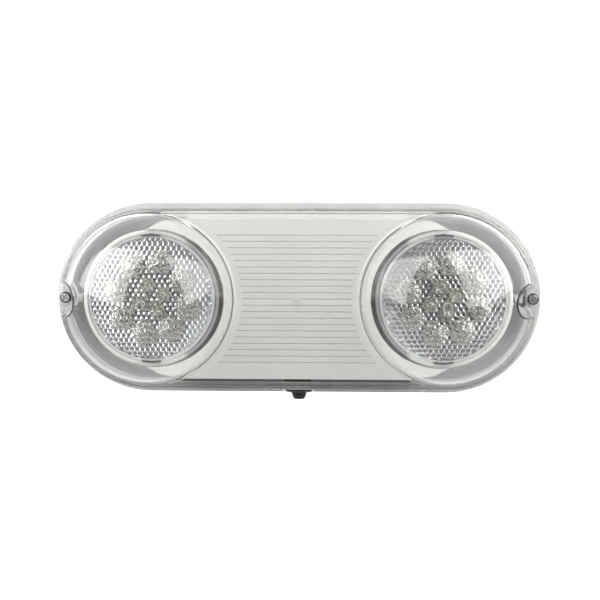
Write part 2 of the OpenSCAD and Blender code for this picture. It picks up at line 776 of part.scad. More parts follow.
module pan_pivots() {
    lug_space(0);
    for (turn = [90, -90]) rotate([turn, 0, 0])
        translate([0, 0, lug_out_r - 0.5]) cylinder(r = pan_pin_r, h = ring_r - lug_out_r - 0.7);
}

module head_shell() {
    difference() {
        rotate_extrude() intersection() {
            difference() {
                circle(shell_r);
                circle(shell_in_r);
            }
            translate([0, -shell_back]) square([shell_r + 1, shell_back + lens_foot]);
        }
        lug_space(seat_gap);
    }
    rotate_extrude() difference() {
        translate([shell_hole_r, -shell_back]) square([shell_lip_w, 2]);
    }
}

module lens() {
    difference() {
        union() {
            translate([0, 0, lens_foot]) cylinder(r = head_r, h = lens_rim_h);
            intersection() {
                translate([0, 0, lens_front + lens_crown - lens_sphere_r]) sphere(lens_sphere_r, $fn = 360);
                translate([0, 0, lens_front - 0.5]) cylinder(r = lens_edge_r, h = lens_crown + 1);
            }
        }
        intersection() {
            translate([0, 0, lens_front + lens_crown - lens_sphere_r])
                sphere(lens_sphere_r - lens_t, $fn = 360);
            cylinder(r = lens_edge_r - 0.6, h = lens_front + lens_crown);
        }
        translate([0, 0, lens_foot - 1]) cylinder(r = lens_edge_r - 0.6, h = 1.8);
        lug_space(seat_gap);
    }
}

// Centres of the reflector cups, which are also the places of the LED chips
module at_cups(ring, count, start) {
    for (k = [0:count - 1]) rotate([0, 0, start + 360 * k / count]) translate([ring, 0, 0]) children();
}

// A cup that opens like a horn, from its foot at the LED board to its mouth
module cup(mouth) {
    mid = (cup_foot_r + mouth) / 2 + 0.8;
    translate([0, 0, -reflector_d - eps]) cylinder(r1 = cup_foot_r, r2 = mid, h = reflector_d * 0.4 + eps);
    translate([0, 0, -reflector_d * 0.6 - eps])
        cylinder(r1 = mid, r2 = mouth, h = reflector_d * 0.6 + 2 * eps);
}

module reflector() {
    difference() {
        union() {
            translate([0, 0, -reflector_d]) cylinder(r = reflector_r, h = reflector_d);
            translate([0, 0, -1]) cylinder(r = shell_in_r - 0.3, h = 1);
        }
        at_cups(outer_cup_ring_r, outer_cups, 32) cup(outer_cup_r);
        at_cups(inner_cup_ring_r, inner_cups, 20) cup(inner_cup_r);
    }
}

module led_board() {
    translate([0, 0, led_board_front - led_board_t]) cylinder(r = led_board_r, h = led_board_t);
}

module led_chip() {
    translate([-led_w / 2, -led_w / 2, led_board_front]) cube([led_w, led_w, led_h]);
}

module leds() {
    at_cups(outer_cup_ring_r, outer_cups, 32) led_chip();
    at_cups(inner_cup_ring_r, inner_cups, 20) led_chip();
}

module left_ring() { color(plate_grey) at_head(-1) gimbal_ring(); }
module right_ring() { color(plate_grey) at_head(1) gimbal_ring(); }
module left_tilt_pins() { color(steel) at_head(-1) tilt_pins(-1); }
module right_tilt_pins() { color(steel) at_head(1) tilt_pins(1); }
module left_pan_pivots() { color(rubber_black) at_head(-1) pan_pivots(); }
module right_pan_pivots() { color(rubber_black) at_head(1) pan_pivots(); }
module left_shell() { color("#e4e4e0") at_head(-1) head_shell(); }
module right_shell() { color("#e4e4e0") at_head(1) head_shell(); }
module left_lens() { color(clear_tint) at_head(-1) lens(); }
module right_lens() { color(clear_tint) at_head(1) lens(); }
module left_reflector() { color("#dfe2e4") at_head(-1) reflector(); }
module right_reflector() { color("#dfe2e4") at_head(1) reflector(); }
module left_led_board() { color("#f0f0ea") at_head(-1) led_board(); }
module right_led_board() { color("#f0f0ea") at_head(1) led_board(); }
module left_leds() { color("#e8c840") at_head(-1) leds(); }
module right_leds() { color("#e8c840") at_head(1) leds(); }

module switch_body() {
    color("#26262a") wall_frame() switch_frame()
        translate([-switch_body_w / 2, -switch_body_w / 2, -housing_wall - 0.4 - switch_body_len])
            cube([switch_body_w, switch_body_w, switch_body_len]);
}

module switch_bushing() {
    color(steel) wall_frame() switch_frame() translate([0, 0, -housing_wall - 0.4])
        tube(bushing_r, plunger_r + plunger_play, housing_wall + 0.4 + bushing_out);
}

module switch_washer() {
    color(steel) wall_frame() switch_frame() tube(washer_r, bushing_r + seat_gap, washer_t);
}

module switch_nut() {
    color(steel) wall_frame() switch_frame() translate([0, 0, washer_t]) difference() {
        cylinder(r = bushing_r + 2.1, h = nut_t, $fn = 6);
        translate([0, 0, -1]) cylinder(r = bushing_r, h = nut_t + 2);
    }
}

module switch_plunger() {
    color(steel) wall_frame() switch_frame() translate([0, 0, -housing_wall + 2])
        cylinder(r = plunger_r, h = housing_wall - 2 + stem_top + stem_len - 2.6);
}

module boot_base() {
    color(rubber_black) wall_frame() switch_frame() translate([0, 0, boot_y]) difference() {
        rotate_extrude() difference() {
            square([boot_r, boot_t]);
            translate([boot_r, boot_t]) corner_off(0.8);
        }
        translate([0, 0, -1]) cylinder(r = bushing_r, h = bushing_out - boot_y + 1);
        cylinder(r = stem_r + 0.3, h = boot_t + 1);
    }
}

module boot_stem() {
    tip = boot_y + boot_t + stem_len;
    color(rubber_black) wall_frame() switch_frame() difference() {
        translate([0, 0, stem_top]) cylinder(r1 = stem_r, r2 = stem_tip_r, h = tip - stem_top);
        translate([0, 0, stem_top - 1]) cylinder(r = plunger_r, h = stem_len - 1.6);
    }
}

module conduit_plug() {
    color("#8f918e") wall_frame() conduit_frame() difference() {
        union() {
            translate([0, 0, 0.8]) cylinder(r = plug_head_r, h = plug_head_t);
            translate([0, 0, -housing_wall - 1]) cylinder(r = conduit_r - 0.1, h = housing_wall + 2);
        }
        translate([0, 0, -housing_wall - 2]) cylinder(r = conduit_r - 2.4, h = housing_wall + 1.6);
        translate([-7, -0.9, plug_head_t - 0.2]) cube([14, 1.8, 2]);
    }
}

module conduit_seal() {
    color(rubber_black) wall_frame() conduit_frame() tube(plug_head_r - 0.6, conduit_r, 0.8);
}

module at_cells() {
    for (k = [0:cell_count - 1])
        translate([0, battery_y + (k - (cell_count - 1) / 2) * cell_pitch, battery_z]) children();
}

module battery_cells() {
    color("#c9ccce") wall_frame() at_cells() rotate([0, 90, 0]) {
        cylinder(r = cell_r, h = cell_len, center = true);
        translate([0, 0, cell_len / 2 - eps]) cylinder(r = cell_r * 0.38, h = 1);
    }
}

// Outline round the row of cells, seen along them, grown by t
module cell_row(t) {
    translate([-cell_r - t, battery_y - (cell_count - 1) / 2 * cell_pitch])
        square([2 * (cell_r + t), (cell_count - 1) * cell_pitch]);
    for (s = [-1, 1]) translate([0, battery_y + s * (cell_count - 1) / 2 * cell_pitch]) circle(cell_r + t);
}

module along_cells(len) {
    translate([-len / 2, 0, battery_z]) rotate([0, 90, 0]) linear_extrude(len) children();
}

module battery_sleeve() {
    color("#2f6f4a") wall_frame() difference() {
        along_cells(cell_len - 1) cell_row(sleeve_t);
        along_cells(cell_len + 1) cell_row(seat_gap / 5);
    }
}

// Sheet bracket over the battery, with a leg and a foot at each end
module battery_strap() {
    top = battery_z + cell_r + sleeve_t + seat_gap;
    foot = back_t + strap_foot;
    color(steel) wall_frame() translate([0, battery_y, 0]) difference() {
        translate([0, strap_w / 2, 0]) rotate([90, 0, 0]) linear_extrude(strap_w) union() {
            translate([-strap_leg_x - strap_t, top]) square([2 * (strap_leg_x + strap_t), strap_t]);
            for (s = [0, 1]) mirror([s, 0]) {
                translate([strap_leg_x, foot]) square([strap_t, top + strap_t - foot]);
                translate([strap_leg_x, foot]) square([strap_t + 9, strap_t]);
            }
        }
        for (x = [-1, 1]) translate([x * strap_screw_x, 0, 0]) cylinder(r = 1.4, h = foot + strap_t + 1);
    }
}

module battery_screws() {
    color(steel) wall_frame() for (x = [-1, 1]) translate([x * strap_screw_x, battery_y, back_t + 0.6])
        pan_screw(1.05, 2.4, 1.6, strap_foot - 0.6 + strap_t + seat_gap);
}

module charger_board() {
    color("#2d6b3c") wall_frame() difference() {
        translate([-board_w / 2, board_low_y, back_t + standoff_h]) cube([board_w, board_h, board_t]);
        for (x = [-1, 1], y = [-1, 1])
            translate([x * board_hole_x, board_y + y * board_hole_y, 0]) cylinder(r = 1.6, h = through);
    }
}

module board_screws() {
    color(steel) wall_frame() for (x = [-1, 1], y = [-1, 1])
        translate([x * board_hole_x, board_y + y * board_hole_y, board_front_z - 6])
            pan_screw(1.05, 2.6, 1.7, 6 + seat_gap);
}

// Frame laminations of the mains transformer, standing on the board
module transformer_core() {
    foot_z = board_front_z + seat_gap;
    color("#4a4c50") wall_frame() translate([transformer_x, board_y, foot_z]) difference() {
        translate([-core_w / 2, -core_t / 2, 0]) cube([core_w, core_t, core_h]);
        for (s = [-1, 1]) translate([s * core_w * 0.25 - core_w * 0.08, -core_t / 2 - 1, core_h * 0.2])
            cube([core_w * 0.16, core_t + 2, core_h * 0.6]);
    }
}

module transformer_coil() {
    window = core_w * 0.16;
    limb = core_w * 0.34;
    coil_z = board_front_z + seat_gap + core_h * 0.2 + 0.3;
    color("#d9a441") wall_frame() translate([transformer_x, board_y, coil_z]) difference() {
        translate([-limb / 2 - window + 0.3, -core_t / 2 - window, 0])
            cube([limb + 2 * window - 0.6, core_t + 2 * window, core_h * 0.6 - 0.6]);
        translate([-limb / 2 - 0.1, -core_t / 2 - 0.1, -1]) cube([limb + 0.2, core_t + 0.2, core_h]);
    }
}

module capacitors() {
    color("#23304f") wall_frame() for (k = [0, 1])
        translate([9 - core_relay_gap + k * (2 * cap_r + 2), board_y + 10, board_front_z + seat_gap])
            cylinder(r = cap_r, h = cap_h);
}

module relay() {
    color("#1d4e89") wall_frame() translate([0, board_y - relay_h - 1, board_front_z + seat_gap])
        cube([relay_w, relay_h, relay_d]);
}

module fuse() {
    color([0.85, 0.9, 0.9, 0.6]) wall_frame() translate([fuse_x, board_y - 6.5, board_front_z + 5])
        rotate([90, 0, 0]) cylinder(r = fuse_r, h = fuse_len, center = true);
}

module fuse_clips() {
    color(steel) wall_frame() for (y = [-10.5, -2.5])
        translate([fuse_x, board_y + y, board_front_z + seat_gap]) difference() {
            translate([-fuse_r - 0.9, -1.5, 0]) cube([2 * fuse_r + 1.8, 3, fuse_r + 4.5]);
            translate([0, 0, 5 - seat_gap]) rotate([90, 0, 0])
                cylinder(r = fuse_r + seat_gap, h = 6, center = true);
            translate([0.9 - fuse_r, -3, 5]) cube([2 * fuse_r - 1.8, 6, fuse_r + 1.5]);
        }
}

// Three-way screw terminals for the supply
module terminal_block() {
    foot_z = board_front_z + seat_gap;
    color("#3a7d44") wall_frame() translate([terminal_x, board_y - 8, foot_z]) difference() {
        cube([terminal_w, 16, 11]);
        for (k = [0:2]) {
            translate([terminal_w / 2, 3 + k * 5, 6]) cylinder(r = 1.7, h = 6);
            translate([terminal_w / 2 + 0.5, 3 + k * 5, 3]) rotate([0, 90, 0])
                cylinder(r = 1.4, h = terminal_w);
        }
    }
}

module battery_wires() {
    start_x = -cell_len / 2;
    start_y = battery_y + battery_h / 2 - cell_r;
    z = board_front_z + wire_r;
    color("#b3261e") wall_frame() for (k = [0, 1]) {
        lane = start_x - 4.5 - 3.2 * (1 - k);
        wire([[start_x, start_y + k * 3.2, battery_z + 1], [start_x - 1.2, start_y + k * 3.2, battery_z + 1],
            [start_x - 3, start_y + k * 3.2, battery_z + 1],
            [lane, start_y + 8, battery_z + 2],
            [lane, board_low_y - 6, z + 2], [lane, board_low_y + 2, z + 2],
            [lane, board_low_y + 5, z + 1], [lane, board_low_y + 6, z]], wire_r);
    }
}

module switch_wires() {
    top_y = -pad_y + housing_wall + 0.4 + switch_body_len;
    z = board_front_z + wire_r;
    color("#e8e8e4") wall_frame() for (k = [-1, 1])
        wire([[k * 3 - 1, top_y, switch_z], [k * 3 - 1, top_y + 4, switch_z],
            [k * 3 - 2, battery_y + 11, switch_z + 2],
            [k * 3 - 4, board_low_y - 9, switch_z], [k * 3 - 6, board_low_y + 1, z + 4],
            [k * 3 - 6, board_low_y + 3.4, z + 1.5], [k * 3 - 6, board_low_y + 4.4, z]], wire_r);
}

module pilot_wires() {
    z = board_front_z + pilot_wire_r;
    color("#e8e8e4") wall_frame() for (k = [-1, 1])
        wire([[k * 0.8, -pilot_drop, plate_back_z - 3.2], [k * 0.8, -pilot_drop, plate_back_z - 8],
            [k * 2 + 3, 0.3, plate_back_z - 18],
            [k * 2 + fuse_x - 8, 0.3, z + 14], [k * 2 + fuse_x, board_low_y + 1, z + 4],
            [k * 2 + fuse_x, board_low_y + 2.4, z + 1.5],
            [k * 2 + fuse_x, board_low_y + 3, z]], pilot_wire_r);
}

// Twin lead from the charger board along the housing's back and up into the head's open back
module head_wires(s) {
    tip_z = head_z - head_wire_tip;
    low = back_t + wire_r + 0.4;
    for (k = [-1, 1]) {
        off = k * (wire_r + 0.2);
        wire([[s * (board_w / 2 - 3), board_y - 12 + off, board_front_z + wire_r],
            [s * (board_w / 2 + 2), board_y - 12 + off, board_front_z + wire_r + 0.5],
            [s * (board_w / 2 + 10), board_y - 15 + off, low + 5],
            [s * (board_w / 2 + 18), board_y - 20 + off, low],
            [s * (head_x - 20), 2 + off, low],
            [s * (head_x - 8), off, low + 0.6],
            [s * head_x, off, low + 6],
            [s * head_x, off, tip_z - 8],
            [s * head_x, off, tip_z]], wire_r);
    }
}

module left_head_wires() { color("#d8352a") wall_frame() head_wires(-1); }
module right_head_wires() { color("#d8352a") wall_frame() head_wires(1); }

housing();
cover();
cover_gasket();
cover_screws();
cover_screw_seals();
screw_inserts();
chassis_plate();
pilot_led();
pilot_led_clip();
left_ring();
right_ring();
left_tilt_pins();
right_tilt_pins();
left_pan_pivots();
right_pan_pivots();
left_shell();
right_shell();
left_lens();
right_lens();
left_reflector();
right_reflector();
left_led_board();
right_led_board();
left_leds();
right_leds();
switch_body();
switch_bushing();
switch_washer();
switch_nut();
switch_plunger();
boot_base();
boot_stem();
conduit_plug();
conduit_seal();
battery_cells();
battery_sleeve();
battery_strap();
battery_screws();
charger_board();
board_screws();
transformer_core();
transformer_coil();
capacitors();
relay();
fuse();
fuse_clips();
terminal_block();
battery_wires();
switch_wires();
pilot_wires();
left_head_wires();
right_head_wires();
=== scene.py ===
"""Looks for the twin head emergency light: lenses, rubber boot, small fittings, finishes and studio."""

import json
import math

import bmesh
import bpy
from mathutils import Matrix, Vector


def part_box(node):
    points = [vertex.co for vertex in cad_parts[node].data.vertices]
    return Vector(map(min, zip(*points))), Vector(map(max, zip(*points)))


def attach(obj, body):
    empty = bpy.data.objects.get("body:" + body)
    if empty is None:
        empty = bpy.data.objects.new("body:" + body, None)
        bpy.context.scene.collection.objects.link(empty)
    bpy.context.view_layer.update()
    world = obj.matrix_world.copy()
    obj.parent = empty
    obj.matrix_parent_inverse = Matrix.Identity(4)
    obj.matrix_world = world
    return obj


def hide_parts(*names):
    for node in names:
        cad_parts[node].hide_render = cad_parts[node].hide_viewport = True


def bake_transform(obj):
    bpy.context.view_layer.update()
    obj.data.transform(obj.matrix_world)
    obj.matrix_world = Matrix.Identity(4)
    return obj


bl_info = {
    "name": "Twin Head Emergency Light",
    "version": (1, 0, 0),
    "blender": (4, 5, 0),
    "location": "3D View > Sidebar > Emergency Light",
    "description": "Dresses the emergency light's solids with lenses, a rubber boot, finishes and a studio",
    "category": "Object",
}

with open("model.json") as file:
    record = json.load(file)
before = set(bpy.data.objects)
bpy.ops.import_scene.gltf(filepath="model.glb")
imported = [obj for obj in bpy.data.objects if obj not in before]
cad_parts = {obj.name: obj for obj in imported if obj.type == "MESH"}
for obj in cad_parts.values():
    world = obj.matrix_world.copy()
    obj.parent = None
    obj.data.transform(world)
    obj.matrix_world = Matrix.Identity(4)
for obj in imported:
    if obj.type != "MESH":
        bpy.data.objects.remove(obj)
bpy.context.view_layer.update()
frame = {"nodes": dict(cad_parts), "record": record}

MM = 0.001
ON_AXIS = 1e-7
STRIP_ROUNDING = 0.2 * MM
GRAIN_DEPTH = 0.04 * MM
FINE_DEPTH = 0.05 * MM
# Noise scales, in cycles per metre
GRAIN, PITS, MOTTLE = 2600.0, 1500.0, 28.0
WORN_SPOTS, DUST_PATCHES, DUST_SPECKS = 420.0, 65.0, 1900.0
RIPPLE, DULL_METAL, ORANGE_PEEL, DULL_MIRROR = 55.0, 700.0, 900.0, 120.0
BOARD_STAINS, PHOSPHOR_GRAIN, FLOOR_TONE = 90.0, 4200.0, 6.0
STREAKS = (90.0, 1800.0, 1800.0)
# Turn of each set of scratches, and its stretched noise
SCRATCHES = ((0.5, (900.0, 900.0, 26.0)), (-0.9, (700.0, 700.0, 18.0)))
# Colours of dust
PALE_DUST = (0.62, 0.6, 0.56, 1.0)
DUST_ON_BLACK = (0.3, 0.29, 0.27, 1.0)
FLOOR_REACH, FLOOR_HEIGHT = 6.0, -0.45
FLOOR_GLOW = 0.75
WHITE = (1.0, 1.0, 1.0, 1.0)
DIM_ROOM = (0.1, 0.1, 0.102, 1.0)
# Where the dim room gives way to the white tent, as a direction, and where the floor in front turns dark
ROOM_EDGE, FLOOR_EDGE = (-0.72, -0.36), (-1.1, -0.7)
SIDES = (("left", -1), ("right", 1))


class Graph:
    """Adds nodes to one node tree and links them."""

    def __init__(self, tree):
        self.tree = tree

    def add(self, kind, **settings):
        node = self.tree.nodes.new(kind)
        for key, value in settings.items():
            setattr(node, key, value)
        return node

    def put(self, node, name, value):
        """Sets an input to a value, or links it when the value is another node's output."""
        socket = node.inputs[name]
        if isinstance(value, bpy.types.NodeSocket):
            self.tree.links.new(value, socket)
        else:
            socket.default_value = value

    def math(self, operation, a, b=0.0, c=0.0, clamp=False):
        node = self.add("ShaderNodeMath", operation=operation, use_clamp=clamp)
        for index, value in enumerate((a, b, c)):
            self.put(node, index, value)
        return node.outputs[0]

    def ramp(self, value, low, high, out_low=0.0, out_high=1.0):
        node = self.add("ShaderNodeMapRange", clamp=True)
        names = ("Value", "From Min", "From Max", "To Min", "To Max")
        for name, number in zip(names, (value, low, high, out_low, out_high)):
            self.put(node, name, number)
        return node.outputs["Result"]

    def fall(self, value, low, high):
        """1 below low, 0 above high."""
        return self.ramp(value, low, high, 1.0, 0.0)

    def product(self, *values):
        result = values[0]
        for value in values[1:]:
            result = self.math("MULTIPLY", result, value)
        return result

    def length(self, a, b):
        """Length of the vector with the two given parts."""
        return self.math("SQRT", self.math("ADD", self.product(a, a), self.product(b, b)))

    def mix_color(self, factor, a, b):
        node = self.add("ShaderNodeMix", data_type="RGBA")
        self.put(node, 0, factor)
        self.put(node, 6, a)
        self.put(node, 7, b)
        return node.outputs[2]

    def noise(self, vector, scale, detail=2.0, roughness=0.5):
        node = self.add("ShaderNodeTexNoise", noise_dimensions="3D")
        names = ("Vector", "Scale", "Detail", "Roughness")
        for name, value in zip(names, (vector, scale, detail, roughness)):
            self.put(node, name, value)
        return node.outputs["Fac"]

    def place(self):
        """Position of the shaded point in the object's own frame."""
        return self.add("ShaderNodeTexCoord").outputs["Object"]


def new_group(name, inputs, outputs):
    """An empty shader node group with float inputs (name, default, low, high) and float outputs."""
    tree = bpy.data.node_groups.new(name, "ShaderNodeTree")
    for label, default, low, high in inputs:
        socket = tree.interface.new_socket(label, in_out="INPUT", socket_type="NodeSocketFloat")
        socket.default_value, socket.min_value, socket.max_value = default, low, high
    for label in outputs:
        tree.interface.new_socket(label, in_out="OUTPUT", socket_type="NodeSocketFloat")
    graph = Graph(tree)
    return graph, graph.add("NodeGroupInput").outputs, graph.add("NodeGroupOutput")


def moulded_grain():
    """Fine grain and slow colour mottle of a moulded part."""
    inputs = [("Scale", 1.0, 0.01, 100.0), ("Mottle Scale", 1.0, 0.01, 100.0)]
    graph, given, result = new_group("Moulded Grain", inputs, ["Height", "Mottle"])
    place = graph.place()
    fine = graph.noise(place, graph.math("MULTIPLY", given["Scale"], GRAIN), 3.0, 0.6)
    pits = graph.add("ShaderNodeTexVoronoi", feature="SMOOTH_F1")
    graph.put(pits, "Vector", place)
    graph.put(pits, "Scale", graph.math("MULTIPLY", given["Scale"], PITS))
    height = graph.math("MULTIPLY_ADD", pits.outputs["Distance"], 0.5, fine)
    slow = graph.noise(place, graph.math("MULTIPLY", given["Mottle Scale"], MOTTLE), 4.0, 0.55)
    graph.put(result, "Height", height)
    graph.put(result, "Mottle", graph.ramp(slow, 0.3, 0.7))
    return graph.tree


def edge_wear():
    """Where corners are rubbed: high on convex edges, broken up by noise."""
    graph, given, result = new_group("Edge Wear", [("Sharpness", 0.5, 0.0, 1.0)], ["Mask"])
    pointiness = graph.add("ShaderNodeNewGeometry").outputs["Pointiness"]
    low = graph.math("MULTIPLY_ADD", given["Sharpness"], 0.03, 0.515)
    edge = graph.ramp(pointiness, low, graph.math("ADD", low, 0.05))
    spots = graph.noise(graph.place(), WORN_SPOTS, 3.0, 0.65)
    graph.put(result, "Mask", graph.math("MULTIPLY", edge, graph.ramp(spots, 0.35, 0.65)))
    return graph.tree


def settled_dust():
    """Dust that lies on faces that look upwards, in soft patches."""
    graph, given, result = new_group("Settled Dust", [("Amount", 0.3, 0.0, 1.0)], ["Mask"])
    normal = graph.add("ShaderNodeNewGeometry").outputs["Normal"]
    parts = graph.add("ShaderNodeSeparateXYZ")
    graph.put(parts, "Vector", normal)
    upward = graph.ramp(parts.outputs["Z"], 0.35, 1.0)
    patches = graph.ramp(graph.noise(graph.place(), DUST_PATCHES, 5.0, 0.6), 0.35, 0.75)
    specks = graph.ramp(graph.noise(graph.place(), DUST_SPECKS, 1.0), 0.62, 0.72)
    mask = graph.math("MULTIPLY", upward, graph.math("ADD", patches, graph.math("MULTIPLY", specks, 0.5)))
    graph.put(result, "Mask", graph.math("MULTIPLY", mask, given["Amount"], clamp=True))
    return graph.tree


def fine_scratches():
    """Hairline scratches in two directions."""
    graph, given, result = new_group("Fine Scratches", [("Density", 0.5, 0.0, 1.0)], ["Mask"])
    lines = None
    for turn, stretch in SCRATCHES:
        mapping = graph.add("ShaderNodeMapping")
        graph.put(mapping, "Vector", graph.place())
        graph.put(mapping, "Rotation", (0.0, turn, 0.3))
        graph.put(mapping, "Scale", stretch)
        streak = graph.noise(mapping.outputs["Vector"], 1.0, 1.0, 0.4)
        cut = graph.math("MULTIPLY_ADD", given["Density"], -0.06, 0.76)
        line = graph.ramp(streak, cut, graph.math("ADD", cut, 0.03))
        lines = line if lines is None else graph.math("MAXIMUM", lines, line)
    graph.put(result, "Mask", lines)
    return graph.tree


def drawn_streaks():
    """Streaks left by turning, drawing or brushing metal along one axis."""
    graph, given, result = new_group("Drawn Streaks", [("Scale", 1.0, 0.05, 20.0)], ["Streak"])
    mapping = graph.add("ShaderNodeMapping")
    graph.put(mapping, "Vector", graph.place())
    graph.put(mapping, "Scale", STREAKS)
    streak = graph.noise(mapping.outputs["Vector"], given["Scale"], 4.0, 0.7)
    graph.put(result, "Streak", streak)
    return graph.tree


EFFECTS = {
    "Moulded Grain": moulded_grain,
    "Edge Wear": edge_wear,
    "Settled Dust": settled_dust,
    "Fine Scratches": fine_scratches,
    "Drawn Streaks": drawn_streaks,
}
GROUPS = {}


def effect(graph, name, **values):
    """Places one of the shared effects in a material, with its own values."""
    if name not in GROUPS:
        GROUPS[name] = EFFECTS[name]()
    node = graph.add("ShaderNodeGroup", node_tree=GROUPS[name])
    for label, value in values.items():
        graph.put(node, label.replace("_", " ").title(), value)
    return node.outputs


def new_material(name):
    """An empty material with its Principled BSDF and output."""
    material = bpy.data.materials.new(name)
    material.use_nodes = True
    material.node_tree.nodes.clear()
    graph = Graph(material.node_tree)
    shader = graph.add("ShaderNodeBsdfPrincipled")
    output = graph.add("ShaderNodeOutputMaterial")
    graph.put(output, "Surface", shader.outputs[0])
    return material, graph, shader, output


def bump(graph, shader, height, strength, distance):
    """Joins a bump of the given height to a shader's normal."""
    node = graph.add("ShaderNodeBump")
    graph.put(node, "Strength", strength)
    graph.put(node, "Distance", distance)
    graph.put(node, "Height", height)
    graph.put(shader, "Normal", node.outputs["Normal"])


def grey(level):
    """An even grey, with full alpha."""
    return (level, level, level, 1.0)


def shade(color, factor):
    """A colour made darker or lighter, with full alpha."""
    return tuple(min(1.0, c * factor) for c in color[:3]) + (1.0,)


def in_zones(graph, tone, zones):
    """A tone with each (mask, colour) zone laid over it."""
    for mask, color in zones:
        tone = graph.mix_color(mask(graph), tone, color + (1.0,))
    return tone


def moulded_plastic(
    name, color, roughness=0.42, grain=1.0, depth=0.25, dust=0.25, wear=0.4, mottle=0.05, zones=()
):
    """Moulded plastic with fine grain, slow mottle, rubbed corners, some dust and zones of painted light and
    shade.
    """
    material, graph, shader, _ = new_material(name)
    surface = effect(graph, "Moulded Grain", scale=grain)
    worn = effect(graph, "Edge Wear", sharpness=0.5)["Mask"]
    dusty = effect(graph, "Settled Dust", amount=dust)["Mask"]
    body = graph.mix_color(surface["Mottle"], shade(color, 1.0 - mottle), shade(color, 1.0 + mottle))
    rubbed = graph.mix_color(graph.math("MULTIPLY", worn, wear), body, shade(color, 1.25))
    toned = graph.mix_color(dusty, rubbed, PALE_DUST)
    graph.put(shader, "Base Color", in_zones(graph, toned, zones))
    rough = graph.math("MULTIPLY_ADD", surface["Mottle"], 0.08, roughness - 0.04)
    graph.put(shader, "Roughness", graph.math("MULTIPLY_ADD", dusty, 0.3, rough, clamp=True))
    bump(graph, shader, surface["Height"], depth, GRAIN_DEPTH)
    return material


def wall_place(graph):
    """Distance from the middle plane, depth and height of a point of the light."""
    parts = graph.add("ShaderNodeSeparateXYZ")
    graph.put(parts, "Vector", graph.place())
    return graph.math("ABSOLUTE", parts.outputs["X"]), parts.outputs["Y"], parts.outputs["Z"]


def within_height(graph, height, low, high):
    """1 near the level of the heads' pivots, 0 beyond the given distances above and below it."""
    return graph.fall(graph.math("ABSOLUTE", height), low, high)


# Where each zone of painted light and shade fades out: distances from the middle plane, from the pivots'
# level or from the rim
HEAD_SIDE, GAP_SIDE = (74 * MM, 82 * MM), (76 * MM, 80 * MM)
PLATE_TOP, GAP_TOP, POST_TOP = (48 * MM, 52 * MM), (50 * MM, 53 * MM), (3.6 * MM, 4.2 * MM)
WALL_FADE, BACK_FADE = 0.5 * MM, (-2.8 * MM, -2 * MM)
RIM_SHADE, POST_FOOT = (-32 * MM, -12 * MM), (-7 * MM, -5 * MM)
SCREW_RIM = (2.7 * MM, 3.2 * MM)


def within_walls(graph):
    """Mask of the space inside the housing's walls, behind its rim and before its back."""
    across, depth, height = wall_place(graph)
    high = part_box("housing")[1]
    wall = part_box("chassis_plate")[1].z + 1 * MM
    beyond = graph.math("MAXIMUM", graph.math("SUBTRACT", across, high.x - high.z), 0.0)
    inside = graph.fall(graph.length(beyond, height), wall, wall + WALL_FADE)
    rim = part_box("cover")[1].y
    below_rim = graph.ramp(depth, rim + 1.5 * MM, rim + 3 * MM)
    before_back = graph.fall(depth, *BACK_FADE)
    return graph.product(inside, below_rim, before_back)


def painted_shade_behind_plate(graph):
    """Mask of the housing's inside between the two heads, painted nearly black as shade."""
    across, _, height = wall_place(graph)
    level = within_height(graph, height, *PLATE_TOP)
    return graph.product(within_walls(graph), level, graph.fall(across, *HEAD_SIDE))


def painted_light_round_heads(graph):
    """Mask of the housing's inside round the heads, painted pale as light that fills it; the painted light
    fades out towards the rim.
    """
    across, depth, _ = wall_place(graph)
    deep = graph.ramp(depth, *RIM_SHADE, 0.25, 1.0)
    return graph.product(within_walls(graph), deep, graph.ramp(across, *HEAD_SIDE))


def painted_shade_on_posts(graph):
    """Mask of the posts that carry the outer ends of the tilt pins, darkened with painted shade."""
    across, depth, height = wall_place(graph)
    bearing = -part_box("left_tilt_pins")[0].x
    beyond = graph.ramp(across, bearing - 4 * MM, bearing - 3.8 * MM)
    short = graph.fall(across, bearing + 0.6 * MM, bearing + 0.8 * MM)
    level = within_height(graph, height, *POST_TOP)
    raised = graph.fall(depth, *POST_FOOT)
    return graph.product(beyond, short, level, raised)


def painted_shadow_on_lower_foot(graph):
    """Mask of the plate's foot under its lower edge, painted dark as the plate's shadow on it."""
    _, _, height = wall_place(graph)
    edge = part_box("chassis_plate")[0].z
    return graph.fall(height, edge + 2.6 * MM, edge + 3.2 * MM)


def painted_shade_in_crescent_gaps(graph):
    """Mask of what lies behind the plate's face beside the heads, seen only through the crescent gaps,
    painted nearly black as shade.
    """
    across, depth, height = wall_place(graph)
    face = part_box("chassis_plate")[0].y
    level = within_height(graph, height, *GAP_TOP)
    deeper = graph.ramp(depth, face + 1.4 * MM, face + 2.4 * MM)
    return graph.product(level, deeper, graph.fall(across, *GAP_SIDE))


def painted_shadow_on_screw_rims(graph):
    """Mask of the rim of the cover screws' heads, painted dark as shadow."""
    low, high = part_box("cover_screws")
    across, depth, height = wall_place(graph)
    axis = high.x - 4 * MM
    reach = graph.length(graph.math("SUBTRACT", across, axis), height)
    head = graph.ramp(depth, low.y + 6 * MM, low.y + 5 * MM)
    return graph.product(head, graph.ramp(reach, *SCREW_RIM))


